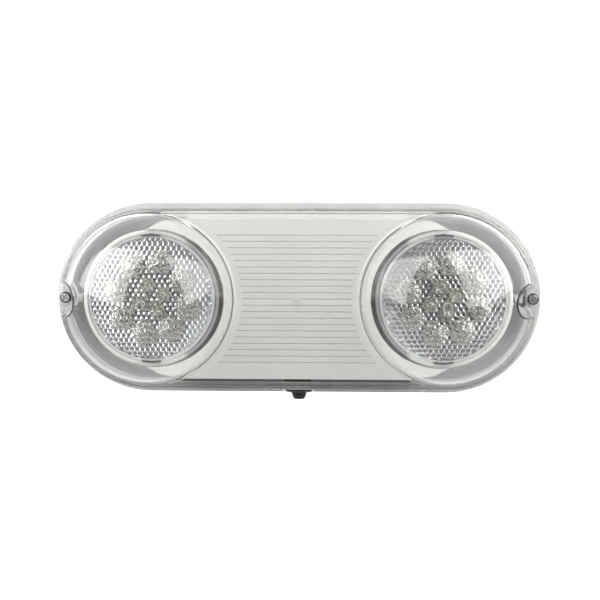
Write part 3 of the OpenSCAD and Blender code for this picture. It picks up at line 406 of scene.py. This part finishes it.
def clear_plastic(name, tint, ripple=0.05, scratches=0.25, ior=1.5):
    """Clear polished plastic: it bends and mirrors light, and lets the lamps' light through."""
    material, graph, shader, output = new_material(name)
    graph.put(shader, "Base Color", tint)
    graph.put(shader, "Transmission Weight", 1.0)
    graph.put(shader, "IOR", ior)
    hair = effect(graph, "Fine Scratches", density=scratches)["Mask"]
    wave = graph.noise(graph.place(), RIPPLE, 2.0, 0.5)
    haze = graph.ramp(wave, 0.3, 0.8, 0.0, 0.03)
    graph.put(shader, "Roughness", graph.math("MULTIPLY_ADD", hair, 0.12, haze))
    bump(graph, shader, wave, ripple, 0.6 * MM)
    path = graph.add("ShaderNodeLightPath").outputs
    passing = graph.math("MAXIMUM", path["Is Shadow Ray"], path["Is Diffuse Ray"])
    clear = graph.add("ShaderNodeBsdfTransparent")
    graph.put(clear, "Color", shade(tint, 1.0))
    blend = graph.add("ShaderNodeMixShader")
    graph.put(blend, 0, passing)
    graph.put(blend, 1, shader.outputs[0])
    graph.put(blend, 2, clear.outputs[0])
    graph.put(output, "Surface", blend.outputs[0])
    return material


def plated_metal(name, color, roughness=0.28, streak_scale=1.0, wear=0.3, zones=()):
    """Plated or turned metal with streaks, dull patches, brighter rubbed edges and zones of painted shade.
    """
    material, graph, shader, _ = new_material(name)
    graph.put(shader, "Metallic", 1.0)
    streak = effect(graph, "Drawn Streaks", scale=streak_scale)["Streak"]
    worn = effect(graph, "Edge Wear", sharpness=0.4)["Mask"]
    dull = graph.ramp(graph.noise(graph.place(), DULL_METAL, 3.0, 0.6), 0.35, 0.7)
    body = graph.mix_color(dull, shade(color, 0.86), shade(color, 1.05))
    toned = graph.mix_color(graph.math("MULTIPLY", worn, wear), body, shade(color, 1.3))
    graph.put(shader, "Base Color", in_zones(graph, toned, zones))
    rough = graph.math("MULTIPLY_ADD", streak, 0.16, roughness - 0.08)
    graph.put(shader, "Roughness", graph.math("MULTIPLY_ADD", dull, 0.08, rough, clamp=True))
    bump(graph, shader, streak, 0.12, FINE_DEPTH)
    return material


def metallised(name, color, orange_peel=0.05, roughness=0.03):
    """Vacuum-metallised plastic: a near mirror with a faint orange peel and duller patches."""
    material, graph, shader, _ = new_material(name)
    graph.put(shader, "Metallic", 1.0)
    peel = graph.noise(graph.place(), ORANGE_PEEL, 2.0, 0.5)
    dull = graph.ramp(graph.noise(graph.place(), DULL_MIRROR, 4.0, 0.6), 0.45, 0.75)
    graph.put(shader, "Base Color", graph.mix_color(dull, shade(color, 1.0), shade(color, 0.9)))
    graph.put(shader, "Roughness", graph.math("MULTIPLY_ADD", dull, 0.05, roughness))
    bump(graph, shader, peel, orange_peel, 0.2 * MM)
    return material


def rubber(name, color, roughness=0.6, dust=0.35):
    """Soft rubber: matte, with a fine grain, greyish bloom and a soft sheen."""
    material, graph, shader, _ = new_material(name)
    surface = effect(graph, "Moulded Grain", scale=0.8)
    dusty = effect(graph, "Settled Dust", amount=dust)["Mask"]
    bloom = graph.mix_color(surface["Mottle"], shade(color, 0.8), shade(color, 1.7))
    graph.put(shader, "Base Color", graph.mix_color(dusty, bloom, DUST_ON_BLACK))
    graph.put(shader, "Roughness", graph.math("MULTIPLY_ADD", surface["Mottle"], 0.15, roughness - 0.07))
    graph.put(shader, "Sheen Weight", 0.15)
    graph.put(shader, "Sheen Roughness", 0.4)
    bump(graph, shader, surface["Height"], 0.3, FINE_DEPTH)
    return material


def circuit_board(name, mask, copper, pitch=1.6 * MM):
    """Solder-masked board with tracks that show as slightly raised lines."""
    material, graph, shader, _ = new_material(name)
    tracks = graph.add("ShaderNodeTexVoronoi", distance="MANHATTAN", feature="F1")
    graph.put(tracks, "Vector", graph.place())
    half_pitch = 0.12
    graph.put(tracks, "Scale", half_pitch / pitch)
    graph.put(tracks, "Randomness", 0.7)
    line = graph.ramp(graph.math("PINGPONG", tracks.outputs["Distance"], half_pitch), 0.045, 0.06)
    body = graph.mix_color(line, mask, copper)
    slow = graph.noise(graph.place(), BOARD_STAINS, 3.0)
    graph.put(shader, "Base Color", graph.mix_color(graph.ramp(slow, 0.35, 0.7), body, shade(mask, 0.85)))
    graph.put(shader, "Roughness", graph.math("MULTIPLY_ADD", line, -0.1, 0.38))
    graph.put(shader, "Coat Weight", 0.3)
    bump(graph, shader, line, 0.25, GRAIN_DEPTH)
    return material


def phosphor(name, color):
    """Yellow phosphor of an LED chip, a little uneven."""
    material, graph, shader, _ = new_material(name)
    grain = graph.noise(graph.place(), PHOSPHOR_GRAIN, 3.0, 0.7)
    graph.put(shader, "Base Color", graph.mix_color(grain, shade(color, 0.8), shade(color, 1.15)))
    graph.put(shader, "Roughness", graph.math("MULTIPLY_ADD", grain, 0.2, 0.25))
    bump(graph, shader, grain, 0.2, FINE_DEPTH)
    return material


FINISHES = {}
# For each slot of the record the kind of finish, then its colour and values
RECIPES = {
    "black_plastic": (moulded_plastic, (0.018, 0.018, 0.02), 0.45, 1.2, 0.35, 0.2, 0.2, 0.2),
    "lens_plastic": (clear_plastic, (0.97, 0.98, 0.98, 1.0), 0.03, 0.15, 1.5),
    "pilot_lens": (clear_plastic, (0.93, 0.94, 0.92, 1.0), 0.03, 0.1, 1.5),
    "fuse_glass": (clear_plastic, (0.93, 0.97, 0.96, 1.0), 0.02, 0.1, 1.5),
    "reflector_metallised": (metallised, (0.97, 0.97, 0.965)),
    # The cover screws' heads get a painted shadow round their rims
    "screw_steel": (
        plated_metal, (0.5, 0.51, 0.52), 0.24, 1.0, 0.3, ((painted_shadow_on_screw_rims, (0.06, 0.06, 0.065)),),
    ),
    "pin_black": (plated_metal, (0.05, 0.05, 0.052), 0.45),
    "insert_brass": (plated_metal, (0.72, 0.52, 0.24), 0.35),
    "cell_metal": (plated_metal, (0.7, 0.7, 0.69), 0.3, 0.6),
    "core_steel": (plated_metal, (0.16, 0.16, 0.165), 0.5, 2.0),
    "gasket_rubber": (rubber, (0.3, 0.3, 0.295), 0.6, 0.1),
    "boot_rubber": (rubber, (0.008, 0.008, 0.009), 0.5, 0.12),
    "led_board_white": (circuit_board, (0.8, 0.8, 0.78, 1.0), (0.72, 0.72, 0.7, 1.0)),
    "circuit_board": (circuit_board, (0.02, 0.16, 0.05, 1.0), (0.05, 0.24, 0.09, 1.0)),
    "led_phosphor": (phosphor, (0.86, 0.83, 0.62)),
    "battery_sleeve": (moulded_plastic, (0.02, 0.2, 0.07), 0.25, 0.5, 0.1),
    "coil_tape": (moulded_plastic, (0.75, 0.5, 0.08), 0.35, 0.6, 0.15, 0.2, 0.2, 0.1),
    "capacitor_blue": (moulded_plastic, (0.015, 0.03, 0.12), 0.3, 0.6, 0.1),
    "relay_blue": (moulded_plastic, (0.02, 0.11, 0.36), 0.35, 1.0, 0.2),
    "terminal_green": (moulded_plastic, (0.04, 0.28, 0.08), 0.4, 1.0, 0.2),
    "wire_red": (moulded_plastic, (0.5, 0.02, 0.015), 0.35, 0.6, 0.1),
    "wire_black": (moulded_plastic, (0.02, 0.02, 0.022), 0.35, 0.6, 0.1),
    "wire_white": (moulded_plastic, (0.78, 0.78, 0.74), 0.35, 0.6, 0.1),
}
# Painted light and shade in the housing: pale painted light inside round the heads, painted shade behind the
# plate and on the outer posts
HOUSING_PAINTED_LIGHT_AND_SHADE = (
    (painted_light_round_heads, (0.96, 0.96, 0.955)),
    (painted_shade_behind_plate, (0.03, 0.03, 0.031)),
    (painted_shade_on_posts, (0.32, 0.32, 0.32)),
)
# Painted shade on the plate: the shadow on its lower foot and the dark inside seen through the crescent gaps
PLATE_PAINTED_SHADE = ((painted_shadow_on_lower_foot, (0.16, 0.16, 0.175)), (painted_shade_in_crescent_gaps, (0.03, 0.03, 0.03)))


def chosen_recipes(look):
    """Recipes of the slots whose colours a user can change."""
    return {
        "housing_plastic": (moulded_plastic, look.housing, 0.5, 0.9, 0.35, 0.25, 0.4, 0.05, HOUSING_PAINTED_LIGHT_AND_SHADE),
        "plate_plastic": (moulded_plastic, look.plate, 0.36, 1.1, 0.18, 0.1, 0.3, 0.02, PLATE_PAINTED_SHADE),
        "shell_plastic": (moulded_plastic, look.plate, 0.4, 1.0, 0.2),
        "clear_plastic": (clear_plastic, tuple(look.cover) + (1.0,), look.cover_ripple),
    }


def finish(name):
    """The material of one of the record's slots, made on first use."""
    if name not in FINISHES:
        maker, *values = {**RECIPES, **chosen_recipes(bpy.context.scene.light_finish)}[name]
        FINISHES[name] = maker(name, *values)
    return FINISHES[name]


def smooth_mesh(name, shape, sharp):
    """Makes a smooth-shaded mesh of a bmesh and keeps its edges over the given angle, in degrees, sharp."""
    mesh = bpy.data.meshes.new(name)
    shape.to_mesh(mesh)
    shape.free()
    mesh.shade_smooth()
    mesh.set_sharp_from_angle(angle=math.radians(sharp))
    return mesh


def quarter_turn(count, first=0):
    """Angles that divide a quarter turn into equal steps."""
    return [math.radians(90 * k / count) for k in range(first, count + 1)]


def new_object(name, mesh, slot_name):
    """Links a mesh into the scene with the finish of one of the record's slots."""
    piece = bpy.data.objects.new(name, mesh)
    bpy.context.scene.collection.objects.link(piece)
    mesh.materials.clear()
    mesh.materials.append(finish(slot_name))
    return piece


def lathe(name, profile, segments, slot_name, sharp=35.0):
    """A closed turned form from (radius, height) points that start and end on the axis, along +Z."""
    shape = bmesh.new()
    turns = [2 * math.pi * k / segments for k in range(segments)]
    rings = []
    for radius, height in profile:
        points = [(radius * math.cos(turn), radius * math.sin(turn), height) for turn in turns]
        if radius < ON_AXIS:
            points = [(0.0, 0.0, height)]
        rings.append([shape.verts.new(point) for point in points])
    for low, high in zip(rings, rings[1:]):
        for k in range(segments):
            n = (k + 1) % segments
            corners = [low[k % len(low)], low[n % len(low)], high[n % len(high)], high[k % len(high)]]
            unique = [v for i, v in enumerate(corners) if v not in corners[:i]]
            if len(unique) > 2:
                shape.faces.new(unique)
    bmesh.ops.recalc_face_normals(shape, faces=shape.faces)
    return new_object(name, smooth_mesh(name, shape, sharp), slot_name)


def wall_turn():
    """From drawing axes (wall plane, then depth out of it) to the row frame."""
    return Matrix.Rotation(math.radians(90), 4, "X")


class LIGHT_PG_finish(bpy.types.PropertyGroup):
    """Colours and surface values of the light's plastics"""

    housing: bpy.props.FloatVectorProperty(
        name="Housing", description="Grey of the back housing", default=(0.54, 0.55, 0.535),
        size=3, subtype="COLOR", min=0, max=1,
    )
    plate: bpy.props.FloatVectorProperty(
        name="Plate", description="Light grey of the chassis plate and gimbal rings",
        default=(0.665, 0.66, 0.63), size=3, subtype="COLOR", min=0, max=1,
    )
    cover: bpy.props.FloatVectorProperty(
        name="Cover tint", description="Tint of the clear cover", default=(0.98, 0.985, 0.98),
        size=3, subtype="COLOR", min=0, max=1,
    )
    cover_ripple: bpy.props.FloatProperty(
        name="Cover ripple", description="Strength of the moulded ripple in the cover",
        default=0.04, min=0, max=1,
    )


class LIGHT_PG_lens(bpy.types.PropertyGroup):
    """Sizes of the prismatic lenses"""

    pitch: bpy.props.FloatProperty(
        name="Prism pitch", description="Distance from one lens bead to the next", default=3.7 * MM,
        min=0.001, max=0.006, unit="LENGTH",
    )
    bead_radius: bpy.props.FloatProperty(
        name="Bead radius", description="Radius of curvature of one bead", default=2.9 * MM,
        min=0.001, max=0.01, unit="LENGTH",
    )
    wall: bpy.props.FloatProperty(
        name="Wall", description="Thickness of the lens between the beads and the outer face",
        default=1.8 * MM, min=0.0005, max=0.004, unit="LENGTH",
    )


class LIGHT_PG_studio(bpy.types.PropertyGroup):
    """Camera, lamps and backdrop"""

    distance: bpy.props.FloatProperty(
        name="Camera distance", description="Distance from the camera to the front of the light",
        default=1.2, min=0.3, max=5, unit="LENGTH",
    )
    azimuth: bpy.props.FloatProperty(
        name="Camera azimuth", description="Angle of the camera to the right of straight ahead",
        default=math.radians(3.15), subtype="ANGLE",
    )
    elevation: bpy.props.FloatProperty(
        name="Camera elevation", description="Angle of the camera above straight ahead",
        default=math.radians(4.5), subtype="ANGLE",
    )
    panel_glow: bpy.props.FloatProperty(
        name="Panel glow", description="Radiance of the two diffusing panels", default=3.05, min=0, max=100,
    )
    panel_width: bpy.props.FloatProperty(
        name="Panel width", description="Width of each of the two diffusing panels", default=0.9,
        min=0.2, max=3, unit="LENGTH",
    )


class LIGHT_OT_finishes(bpy.types.Operator):
    """Gives every solid of the light its own procedural material"""

    bl_idname = "light.finishes"
    bl_label = "Finish the solids"

    def execute(self, context):
        slots = {part["node"]: part["material_slot"] for part in frame["record"]["subparts"]}
        for node, solid in frame["nodes"].items():
            material = finish(slots[node])
            if not solid.material_slots:
                solid.data.materials.append(material)
            for place in solid.material_slots:
                place.material = material
        return {"FINISHED"}


def head_centre(side):
    """Pivot point of one head, from the middle of its gimbal ring."""
    low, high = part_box(side + "_ring")
    return (low + high) / 2


def bead_height(x, y, pitch, radius):
    """How far a bead stands inwards at a point: spheres on a hexagonal lattice, cut where they meet."""
    row_step = pitch * math.sqrt(3) / 2
    row = round(y / row_step)
    best = math.inf
    for r in (row - 1, row, row + 1):
        shift = (r % 2) * pitch / 2
        column = round((x - shift) / pitch)
        for c in (column - 1, column, column + 1):
            dx, dy = x - (c * pitch + shift), y - r * row_step
            best = min(best, dx * dx + dy * dy)
    edge = pitch / math.sqrt(3)
    return math.sqrt(max(0.0, radius**2 - best)) - math.sqrt(radius**2 - edge**2)


def lens_mesh(name, lens, split=8):
    """Crowned lens with a rim, and beads on its inner face, as one closed mesh about the head's pivot."""
    low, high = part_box("left_lens")
    rim_r = (high.x - low.x) / 2
    foot, front = 1.0 * MM, 5.5 * MM
    crown = head_centre("left").y - low.y - front
    edge_r = rim_r - 2.0 * MM
    bead_r = edge_r - 0.3 * MM
    bore_r, soft = edge_r - 0.4 * MM, 0.15 * MM
    notch_half, notch_r = 6.6 * MM, rim_r - 1.2 * MM
    dome_steps = 9
    sphere = (edge_r**2 + crown**2) / (2 * crown)

    def outside(r):
        return front + crown - sphere + math.sqrt(sphere**2 - r * r)

    def inside(x, y):
        r = math.hypot(x, y)
        return outside(r) - lens.wall - bead_height(x, y, lens.pitch, lens.bead_radius)

    shape = bmesh.new()
    step = lens.pitch / split
    row_step = lens.pitch * math.sqrt(3) / 2 / split
    rows = int(bead_r / row_step) + 2
    columns = int(bead_r / step) + split + 2
    grid = {}
    for j in range(-rows, rows + 1):
        for i in range(-columns, columns + 1):
            grid[i, j] = ((i + (j % 2) / 2) * step, j * row_step)

    used = {}

    def vertex(key):
        if key not in used:
            x, y = grid[key]
            r = math.hypot(x, y)
            if r > bead_r:
                x, y = x * bead_r / r, y * bead_r / r
            height = inside(x, y) if r <= bead_r else outside(bead_r) - lens.wall
            used[key] = shape.verts.new((x, y, height))
        return used[key]

    for j in range(-rows, rows):
        for i in range(-columns, columns):
            shift = j % 2
            for corners in (
                ((i, j), (i + 1, j), (i + shift, j + 1)),
                ((i + 1 - shift, j), (i + 1, j + 1), (i, j + 1)),
            ):
                if all(k in grid for k in corners) and min(math.hypot(*grid[k]) for k in corners) < bead_r:
                    shape.faces.new([vertex(k) for k in corners])
    bmesh.ops.remove_doubles(shape, verts=shape.verts, dist=0.02 * MM)
    profile = [(bead_r + 0.2 * MM, outside(bead_r) - lens.wall), (bore_r, foot + 0.8 * MM)]
    profile += [(bore_r, foot), (rim_r - soft, foot), (rim_r, foot + soft)]
    profile += [(rim_r, front - 0.5 * MM), (rim_r - soft, front - soft), (rim_r - 0.5 * MM, front)]
    profile += [(edge_r + soft, front), (edge_r, outside(edge_r))]
    steps = [edge_r * k / dome_steps for k in range(dome_steps - 1, 0, -1)]
    profile += [(r, outside(r)) for r in steps]
    rim = {v for e in shape.edges if len(e.link_faces) == 1 for v in e.verts}
    ring = sorted(rim, key=lambda v: math.atan2(v.co.y, v.co.x))
    turns = [math.atan2(v.co.y, v.co.x) for v in ring]
    for radius, height in profile:
        grown = []
        for turn in turns:
            in_notch = radius > notch_r and abs(notch_r * math.cos(turn)) < notch_half
            reach = notch_r if in_notch else radius
            grown.append(shape.verts.new((reach * math.cos(turn), reach * math.sin(turn), height)))
        for k in range(len(ring)):
            shape.faces.new((ring[k - 1], ring[k], grown[k], grown[k - 1]))
        ring = grown
    shape.faces.new(ring)
    bmesh.ops.recalc_face_normals(shape, faces=shape.faces)
    return smooth_mesh(name, shape, 28)


class LIGHT_OT_lenses(bpy.types.Operator):
    """Makes the two crowned lenses with beads on their inner faces"""

    bl_idname = "light.lenses"
    bl_label = "Make the prismatic lenses"

    def execute(self, context):
        lens = context.scene.light_lens
        for side, _ in SIDES:
            mesh = lens_mesh(side + "_beaded_lens", lens)
            mesh.transform(Matrix.Translation(head_centre(side)) @ wall_turn())
            piece = new_object(side + "_beaded_lens", mesh, "lens_plastic")
            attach(piece, side + "_head")
            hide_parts(side + "_lens")
        return {"FINISHED"}


def solid_strip(name, outline, near, far, slot_name):
    """A flat bar with the given (x, z) outline between two depths, with softly rounded edges."""
    shape = bmesh.new()
    front = [shape.verts.new((x, near, z)) for x, z in outline]
    back = [shape.verts.new((x, far, z)) for x, z in outline]
    shape.faces.new(front)
    shape.faces.new(list(reversed(back)))
    for k in range(len(outline)):
        n = (k + 1) % len(outline)
        shape.faces.new((front[k], back[k], back[n], front[n]))
    bmesh.ops.recalc_face_normals(shape, faces=shape.faces)
    bmesh.ops.bevel(shape, geom=list(shape.edges), offset=STRIP_ROUNDING, segments=2, affect="EDGES")
    return new_object(name, smooth_mesh(name, shape, 50), slot_name)


class LIGHT_OT_foot_ends(bpy.types.Operator):
    """Makes the tapered ends of the plate's upper foot, which close the gap above its shoulders"""

    bl_idname = "light.foot_ends"
    bl_label = "Make the foot ends"

    def execute(self, context):
        plate_low, plate_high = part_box("chassis_plate")
        wall = plate_high.z
        top = wall - 0.1 * MM
        start, end = head_centre("right").x - 24 * MM, head_centre("right").x - 5 * MM
        near = plate_low.y + 11.5 * MM
        far = near + 1.5 * MM
        for side, sign in SIDES:
            outline = [(start, wall - 3.2 * MM), (end, wall - 0.7 * MM), (end, top), (start, top)]
            outline = [(sign * x, z) for x, z in outline]
            piece = solid_strip(side + "_foot_end", outline, near, far, "plate_plastic")
            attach(piece, "root")
        return {"FINISHED"}


class LIGHT_OT_pilot_bezel(bpy.types.Operator):
    """Makes the pale bezel ring round the pilot lamp"""

    bl_idname = "light.pilot_bezel"
    bl_label = "Make the pilot bezel"

    def execute(self, context):
        low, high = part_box("pilot_led")
        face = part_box("chassis_plate")[0].y
        inner, outer, proud, side, sunk = 1.15 * MM, 2.5 * MM, 0.45 * MM, 0.1 * MM, 0.2 * MM
        profile = [(0.0, -sunk), (outer, -sunk), (outer, side)]
        for turn in quarter_turn(6, 1):
            reach = outer - 0.45 * MM * (1 - math.cos(turn))
            profile.append((reach, side + (proud - side) * math.sin(turn)))
        profile += [(inner + 0.35 * MM, proud), (inner, proud - 0.25 * MM)]
        profile += [(inner - 0.1 * MM, 0.05 * MM), (0.0, 0.0)]
        bezel = lathe("pilot_bezel", profile, 64, "shell_plastic")
        middle = Vector(((low.x + high.x) / 2, face, (low.z + high.z) / 2))
        bezel.data.transform(Matrix.Translation(middle) @ wall_turn())
        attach(bezel, "root")
        return {"FINISHED"}


class LIGHT_OT_dome_highlight_beads(bpy.types.Operator):
    """Makes the pale bead where each dome rises out of the cover's flat face: an opaque painted highlight
    that stands in for the light on the fillet there
    """

    bl_idname = "light.dome_beads"
    bl_label = "Make the dome beads"

    def execute(self, context):
        cover_low, cover_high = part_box("cover")
        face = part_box("chassis_plate")[0].y - 5.5 * MM
        radius = cover_high.z - 6.3 * MM
        centre_x = cover_high.x - cover_high.z
        sphere_y = cover_low.y + radius

        def reach(y):
            return math.sqrt(radius**2 - (y - sphere_y) ** 2)

        foot = reach(face)
        top = face - 1.0 * MM
        section = [(foot + 0.65 * MM, face), (foot + 0.3 * MM, face - 0.15 * MM)]
        section += [(foot + 0.06 * MM, face - 0.45 * MM), (reach(top) + 0.02 * MM, top), (foot, face)]
        steps, spread = 120, math.radians(78)
        for side, sign in SIDES:
            shape = bmesh.new()
            rings = []
            for k in range(steps + 1):
                turn = spread * (2 * k / steps - 1)
                across, up = math.cos(turn), math.sin(turn)
                points = [(sign * (centre_x - r * across), y, r * up) for r, y in section]
                rings.append([shape.verts.new(point) for point in points])
            for here, there in zip(rings, rings[1:]):
                for k in range(len(section)):
                    n = (k + 1) % len(section)
                    shape.faces.new((here[k], here[n], there[n], there[k]))
            shape.faces.new(rings[0])
            shape.faces.new(rings[-1])
            bmesh.ops.recalc_face_normals(shape, faces=shape.faces)
            name = side + "_dome_bead"
            piece = new_object(name, smooth_mesh(name, shape, 60), "shell_plastic")
            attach(piece, "cover")
        return {"FINISHED"}


class LIGHT_OT_boot(bpy.types.Operator):
    """Makes the one-piece rubber boot over the test switch"""

    bl_idname = "light.boot"
    bl_label = "Make the switch boot"

    def execute(self, context):
        base_low, base_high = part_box("boot_base")
        stem_low, stem_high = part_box("boot_stem")
        axis_x, axis_y = (base_low.x + base_high.x) / 2, (base_low.y + base_high.y) / 2
        top, flange_end, tip = base_high.z, base_low.z, stem_low.z
        flange_r = (base_high.x - base_low.x) / 2
        stem_r = (stem_high.x - stem_low.x) / 2
        tip_r = stem_r - 0.9 * MM
        seat_r, seat, rounding = 6.05 * MM, top - 0.3 * MM, 0.9 * MM
        profile = [(0.0, seat), (seat_r, seat), (seat_r, top)]
        profile += [(flange_r - 0.4 * MM, top), (flange_r, top - 0.4 * MM)]
        for turn in quarter_turn(6):
            reach = flange_r - rounding * (1 - math.cos(turn))
            profile.append((reach, flange_end + rounding * (1 - math.sin(turn))))
        neck, fillet = stem_r + 0.9 * MM, 0.7 * MM
        for turn in quarter_turn(5):
            profile.append((neck - fillet * math.sin(turn), flange_end - fillet * (1 - math.cos(turn))))
        bead = flange_end - 0.42 * (flange_end - tip)
        profile += [(stem_r - 0.1 * MM, bead + 0.5 * MM), (stem_r + 0.05 * MM, bead)]
        profile += [(stem_r - 0.25 * MM, bead - 0.5 * MM)]
        tip_rounding = 1.1 * MM
        for turn in quarter_turn(6):
            reach = tip_r - tip_rounding * (1 - math.cos(turn))
            profile.append((reach, tip + tip_rounding * (1 - math.sin(turn))))
        profile += [(1.2 * MM, tip), (0.0, tip + 0.12 * MM)]
        boot = lathe("test_boot", profile, 96, "boot_rubber")
        boot.data.transform(Matrix.Translation((axis_x, axis_y, 0.0)))
        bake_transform(boot)
        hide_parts("boot_base", "boot_stem")
        return {"FINISHED"}


def panel_light(name, corners, glow):
    """A diffusing panel from three corners of its rectangle: inner low, inner high and outer low."""
    low, high, outer = (Vector(c) for c in corners)
    up, across = high - low, outer - low
    across -= up * (across.dot(up) / up.length_squared)
    lamp = bpy.data.lights.new(name, "AREA")
    lamp.shape = "RECTANGLE"
    lamp.size, lamp.size_y = across.length, up.length
    lamp.energy = glow * math.pi * across.length * up.length
    piece = bpy.data.objects.new(name, lamp)
    centre = low + up / 2 + across / 2
    x, y = across.normalized(), up.normalized()
    z = x.cross(y)
    if z.dot(centre) < 0:
        x, z = -x, -z
    turn = Matrix((x, y, z)).transposed().to_4x4()
    piece.matrix_world = Matrix.Translation(centre) @ turn
    bpy.context.scene.collection.objects.link(piece)
    return piece


def studio_world():
    """White to the camera; in reflections a white tent with the dim room behind the camera left open."""
    world = bpy.data.worlds.new("studio")
    bpy.context.scene.world = world
    world.use_nodes = True
    world.node_tree.nodes.clear()
    graph = Graph(world.node_tree)
    parts = graph.add("ShaderNodeSeparateXYZ")
    graph.put(parts, "Vector", graph.add("ShaderNodeTexCoord").outputs["Generated"])
    beside = graph.ramp(parts.outputs["Y"], *ROOM_EDGE)
    room = graph.mix_color(beside, DIM_ROOM, WHITE)
    path = graph.add("ShaderNodeLightPath").outputs
    seen = graph.mix_color(path["Is Camera Ray"], room, WHITE)
    background = graph.add("ShaderNodeBackground")
    graph.put(background, "Color", seen)
    graph.put(background, "Strength", 1.0)
    output = graph.add("ShaderNodeOutputWorld")
    graph.put(output, "Surface", background.outputs[0])


def floor_material():
    """Pale floor that the camera sees as white, with the light's soft shadow kept."""
    material, graph, shader, output = new_material("studio_floor")
    tone = graph.noise(graph.place(), FLOOR_TONE, 3.0)
    path = graph.add("ShaderNodeLightPath").outputs
    pale = graph.mix_color(tone, grey(0.86), grey(0.9))
    mirrored = graph.math("MAXIMUM", path["Is Glossy Ray"], path["Is Transmission Ray"])
    parts = graph.add("ShaderNodeSeparateXYZ")
    graph.put(parts, "Vector", graph.place())
    ahead = graph.fall(parts.outputs["Y"], *FLOOR_EDGE)
    dark = graph.math("MULTIPLY", mirrored, ahead)
    lit = graph.mix_color(path["Is Camera Ray"], grey(0.75), pale)
    graph.put(shader, "Base Color", graph.mix_color(dark, lit, grey(0.05)))
    graph.put(shader, "Roughness", 0.9)
    glow = graph.add("ShaderNodeEmission")
    graph.put(glow, "Color", WHITE)
    graph.put(glow, "Strength", graph.math("MULTIPLY", path["Is Camera Ray"], FLOOR_GLOW))
    total = graph.add("ShaderNodeAddShader")
    graph.put(total, 0, shader.outputs[0])
    graph.put(total, 1, glow.outputs[0])
    graph.put(output, "Surface", total.outputs[0])
    return material


class LIGHT_OT_studio(bpy.types.Operator):
    """Sets up the floor, the diffusing panels, the world and the camera"""

    bl_idname = "light.studio"
    bl_label = "Set up the studio"

    def execute(self, context):
        scene = context.scene
        studio = scene.light_studio
        scene.view_settings.view_transform = "Standard"
        studio_world()
        mesh = bpy.data.meshes.new("studio_floor")
        reach, height = FLOOR_REACH, FLOOR_HEIGHT
        corners = [(x * reach, y * reach, height) for x, y in ((-1, -1), (1, -1), (1, 1), (-1, 1))]
        mesh.from_pydata(corners, [], [(0, 1, 2, 3)])
        floor = bpy.data.objects.new("studio_floor", mesh)
        scene.collection.objects.link(floor)
        mesh.materials.append(floor_material())
        inner_x, front_y, low_z = 0.222, -0.305, -0.03
        sideways, away = 0.889 * studio.panel_width, 0.458 * studio.panel_width
        for side, sign in SIDES:
            low = (sign * inner_x, front_y, low_z)
            high = (sign * 0.1, -0.3, 0.461)
            outer = (sign * inner_x + sign * sideways, front_y + away, low_z)
            panel_light(side + "_panel", (low, high, outer), studio.panel_glow)
        camera = bpy.data.objects.new("camera", bpy.data.cameras.new("camera"))
        scene.collection.objects.link(camera)
        target = Vector((0.0016, -0.045, -0.0015))
        flat, rise = math.cos(studio.elevation), math.sin(studio.elevation)
        direction = Vector((flat * math.sin(studio.azimuth), -flat * math.cos(studio.azimuth), rise))
        camera.location = target + direction * studio.distance
        camera.rotation_euler = (-direction).to_track_quat("-Z", "Y").to_euler()
        sensor, half_frame = 36.0, 0.21158
        camera.data.sensor_width = sensor
        camera.data.lens = sensor / 2 * studio.distance / half_frame
        camera.data.clip_start, camera.data.clip_end = 0.01, 50.0
        scene.camera = camera
        return {"FINISHED"}


class LIGHT_PT_panel(bpy.types.Panel):
    """Shows the light's finish, lens and studio values and its operators in the sidebar"""

    bl_idname = "LIGHT_PT_panel"
    bl_label = "Emergency Light"
    bl_space_type = "VIEW_3D"
    bl_region_type = "UI"
    bl_category = "Emergency Light"

    def draw(self, context):
        for title, group in (("Finish", "light_finish"), ("Lens", "light_lens"), ("Studio", "light_studio")):
            box = self.layout.box()
            box.label(text=title)
            values = getattr(context.scene, group)
            for name in values.__annotations__:
                box.prop(values, name)
        for operator in OPERATORS:
            self.layout.operator(operator.bl_idname)


GROUP_TYPES = {"light_finish": LIGHT_PG_finish, "light_lens": LIGHT_PG_lens, "light_studio": LIGHT_PG_studio}
OPERATORS = (
    LIGHT_OT_studio, LIGHT_OT_finishes, LIGHT_OT_lenses, LIGHT_OT_foot_ends,
    LIGHT_OT_pilot_bezel, LIGHT_OT_dome_highlight_beads, LIGHT_OT_boot,
)
CLASSES = (*GROUP_TYPES.values(), *OPERATORS, LIGHT_PT_panel)


def register():
    for cls in CLASSES:
        bpy.utils.register_class(cls)
    for name, group in GROUP_TYPES.items():
        setattr(bpy.types.Scene, name, bpy.props.PointerProperty(type=group))


def unregister():
    for name in GROUP_TYPES:
        delattr(bpy.types.Scene, name)
    for cls in reversed(CLASSES):
        bpy.utils.unregister_class(cls)


def main():
    register()
    bpy.ops.light.studio()
    bpy.ops.light.finishes()
    bpy.ops.light.lenses()
    bpy.ops.light.foot_ends()
    bpy.ops.light.pilot_bezel()
    bpy.ops.light.dome_beads()
    bpy.ops.light.boot()


if __name__ == "__main__":
    main()
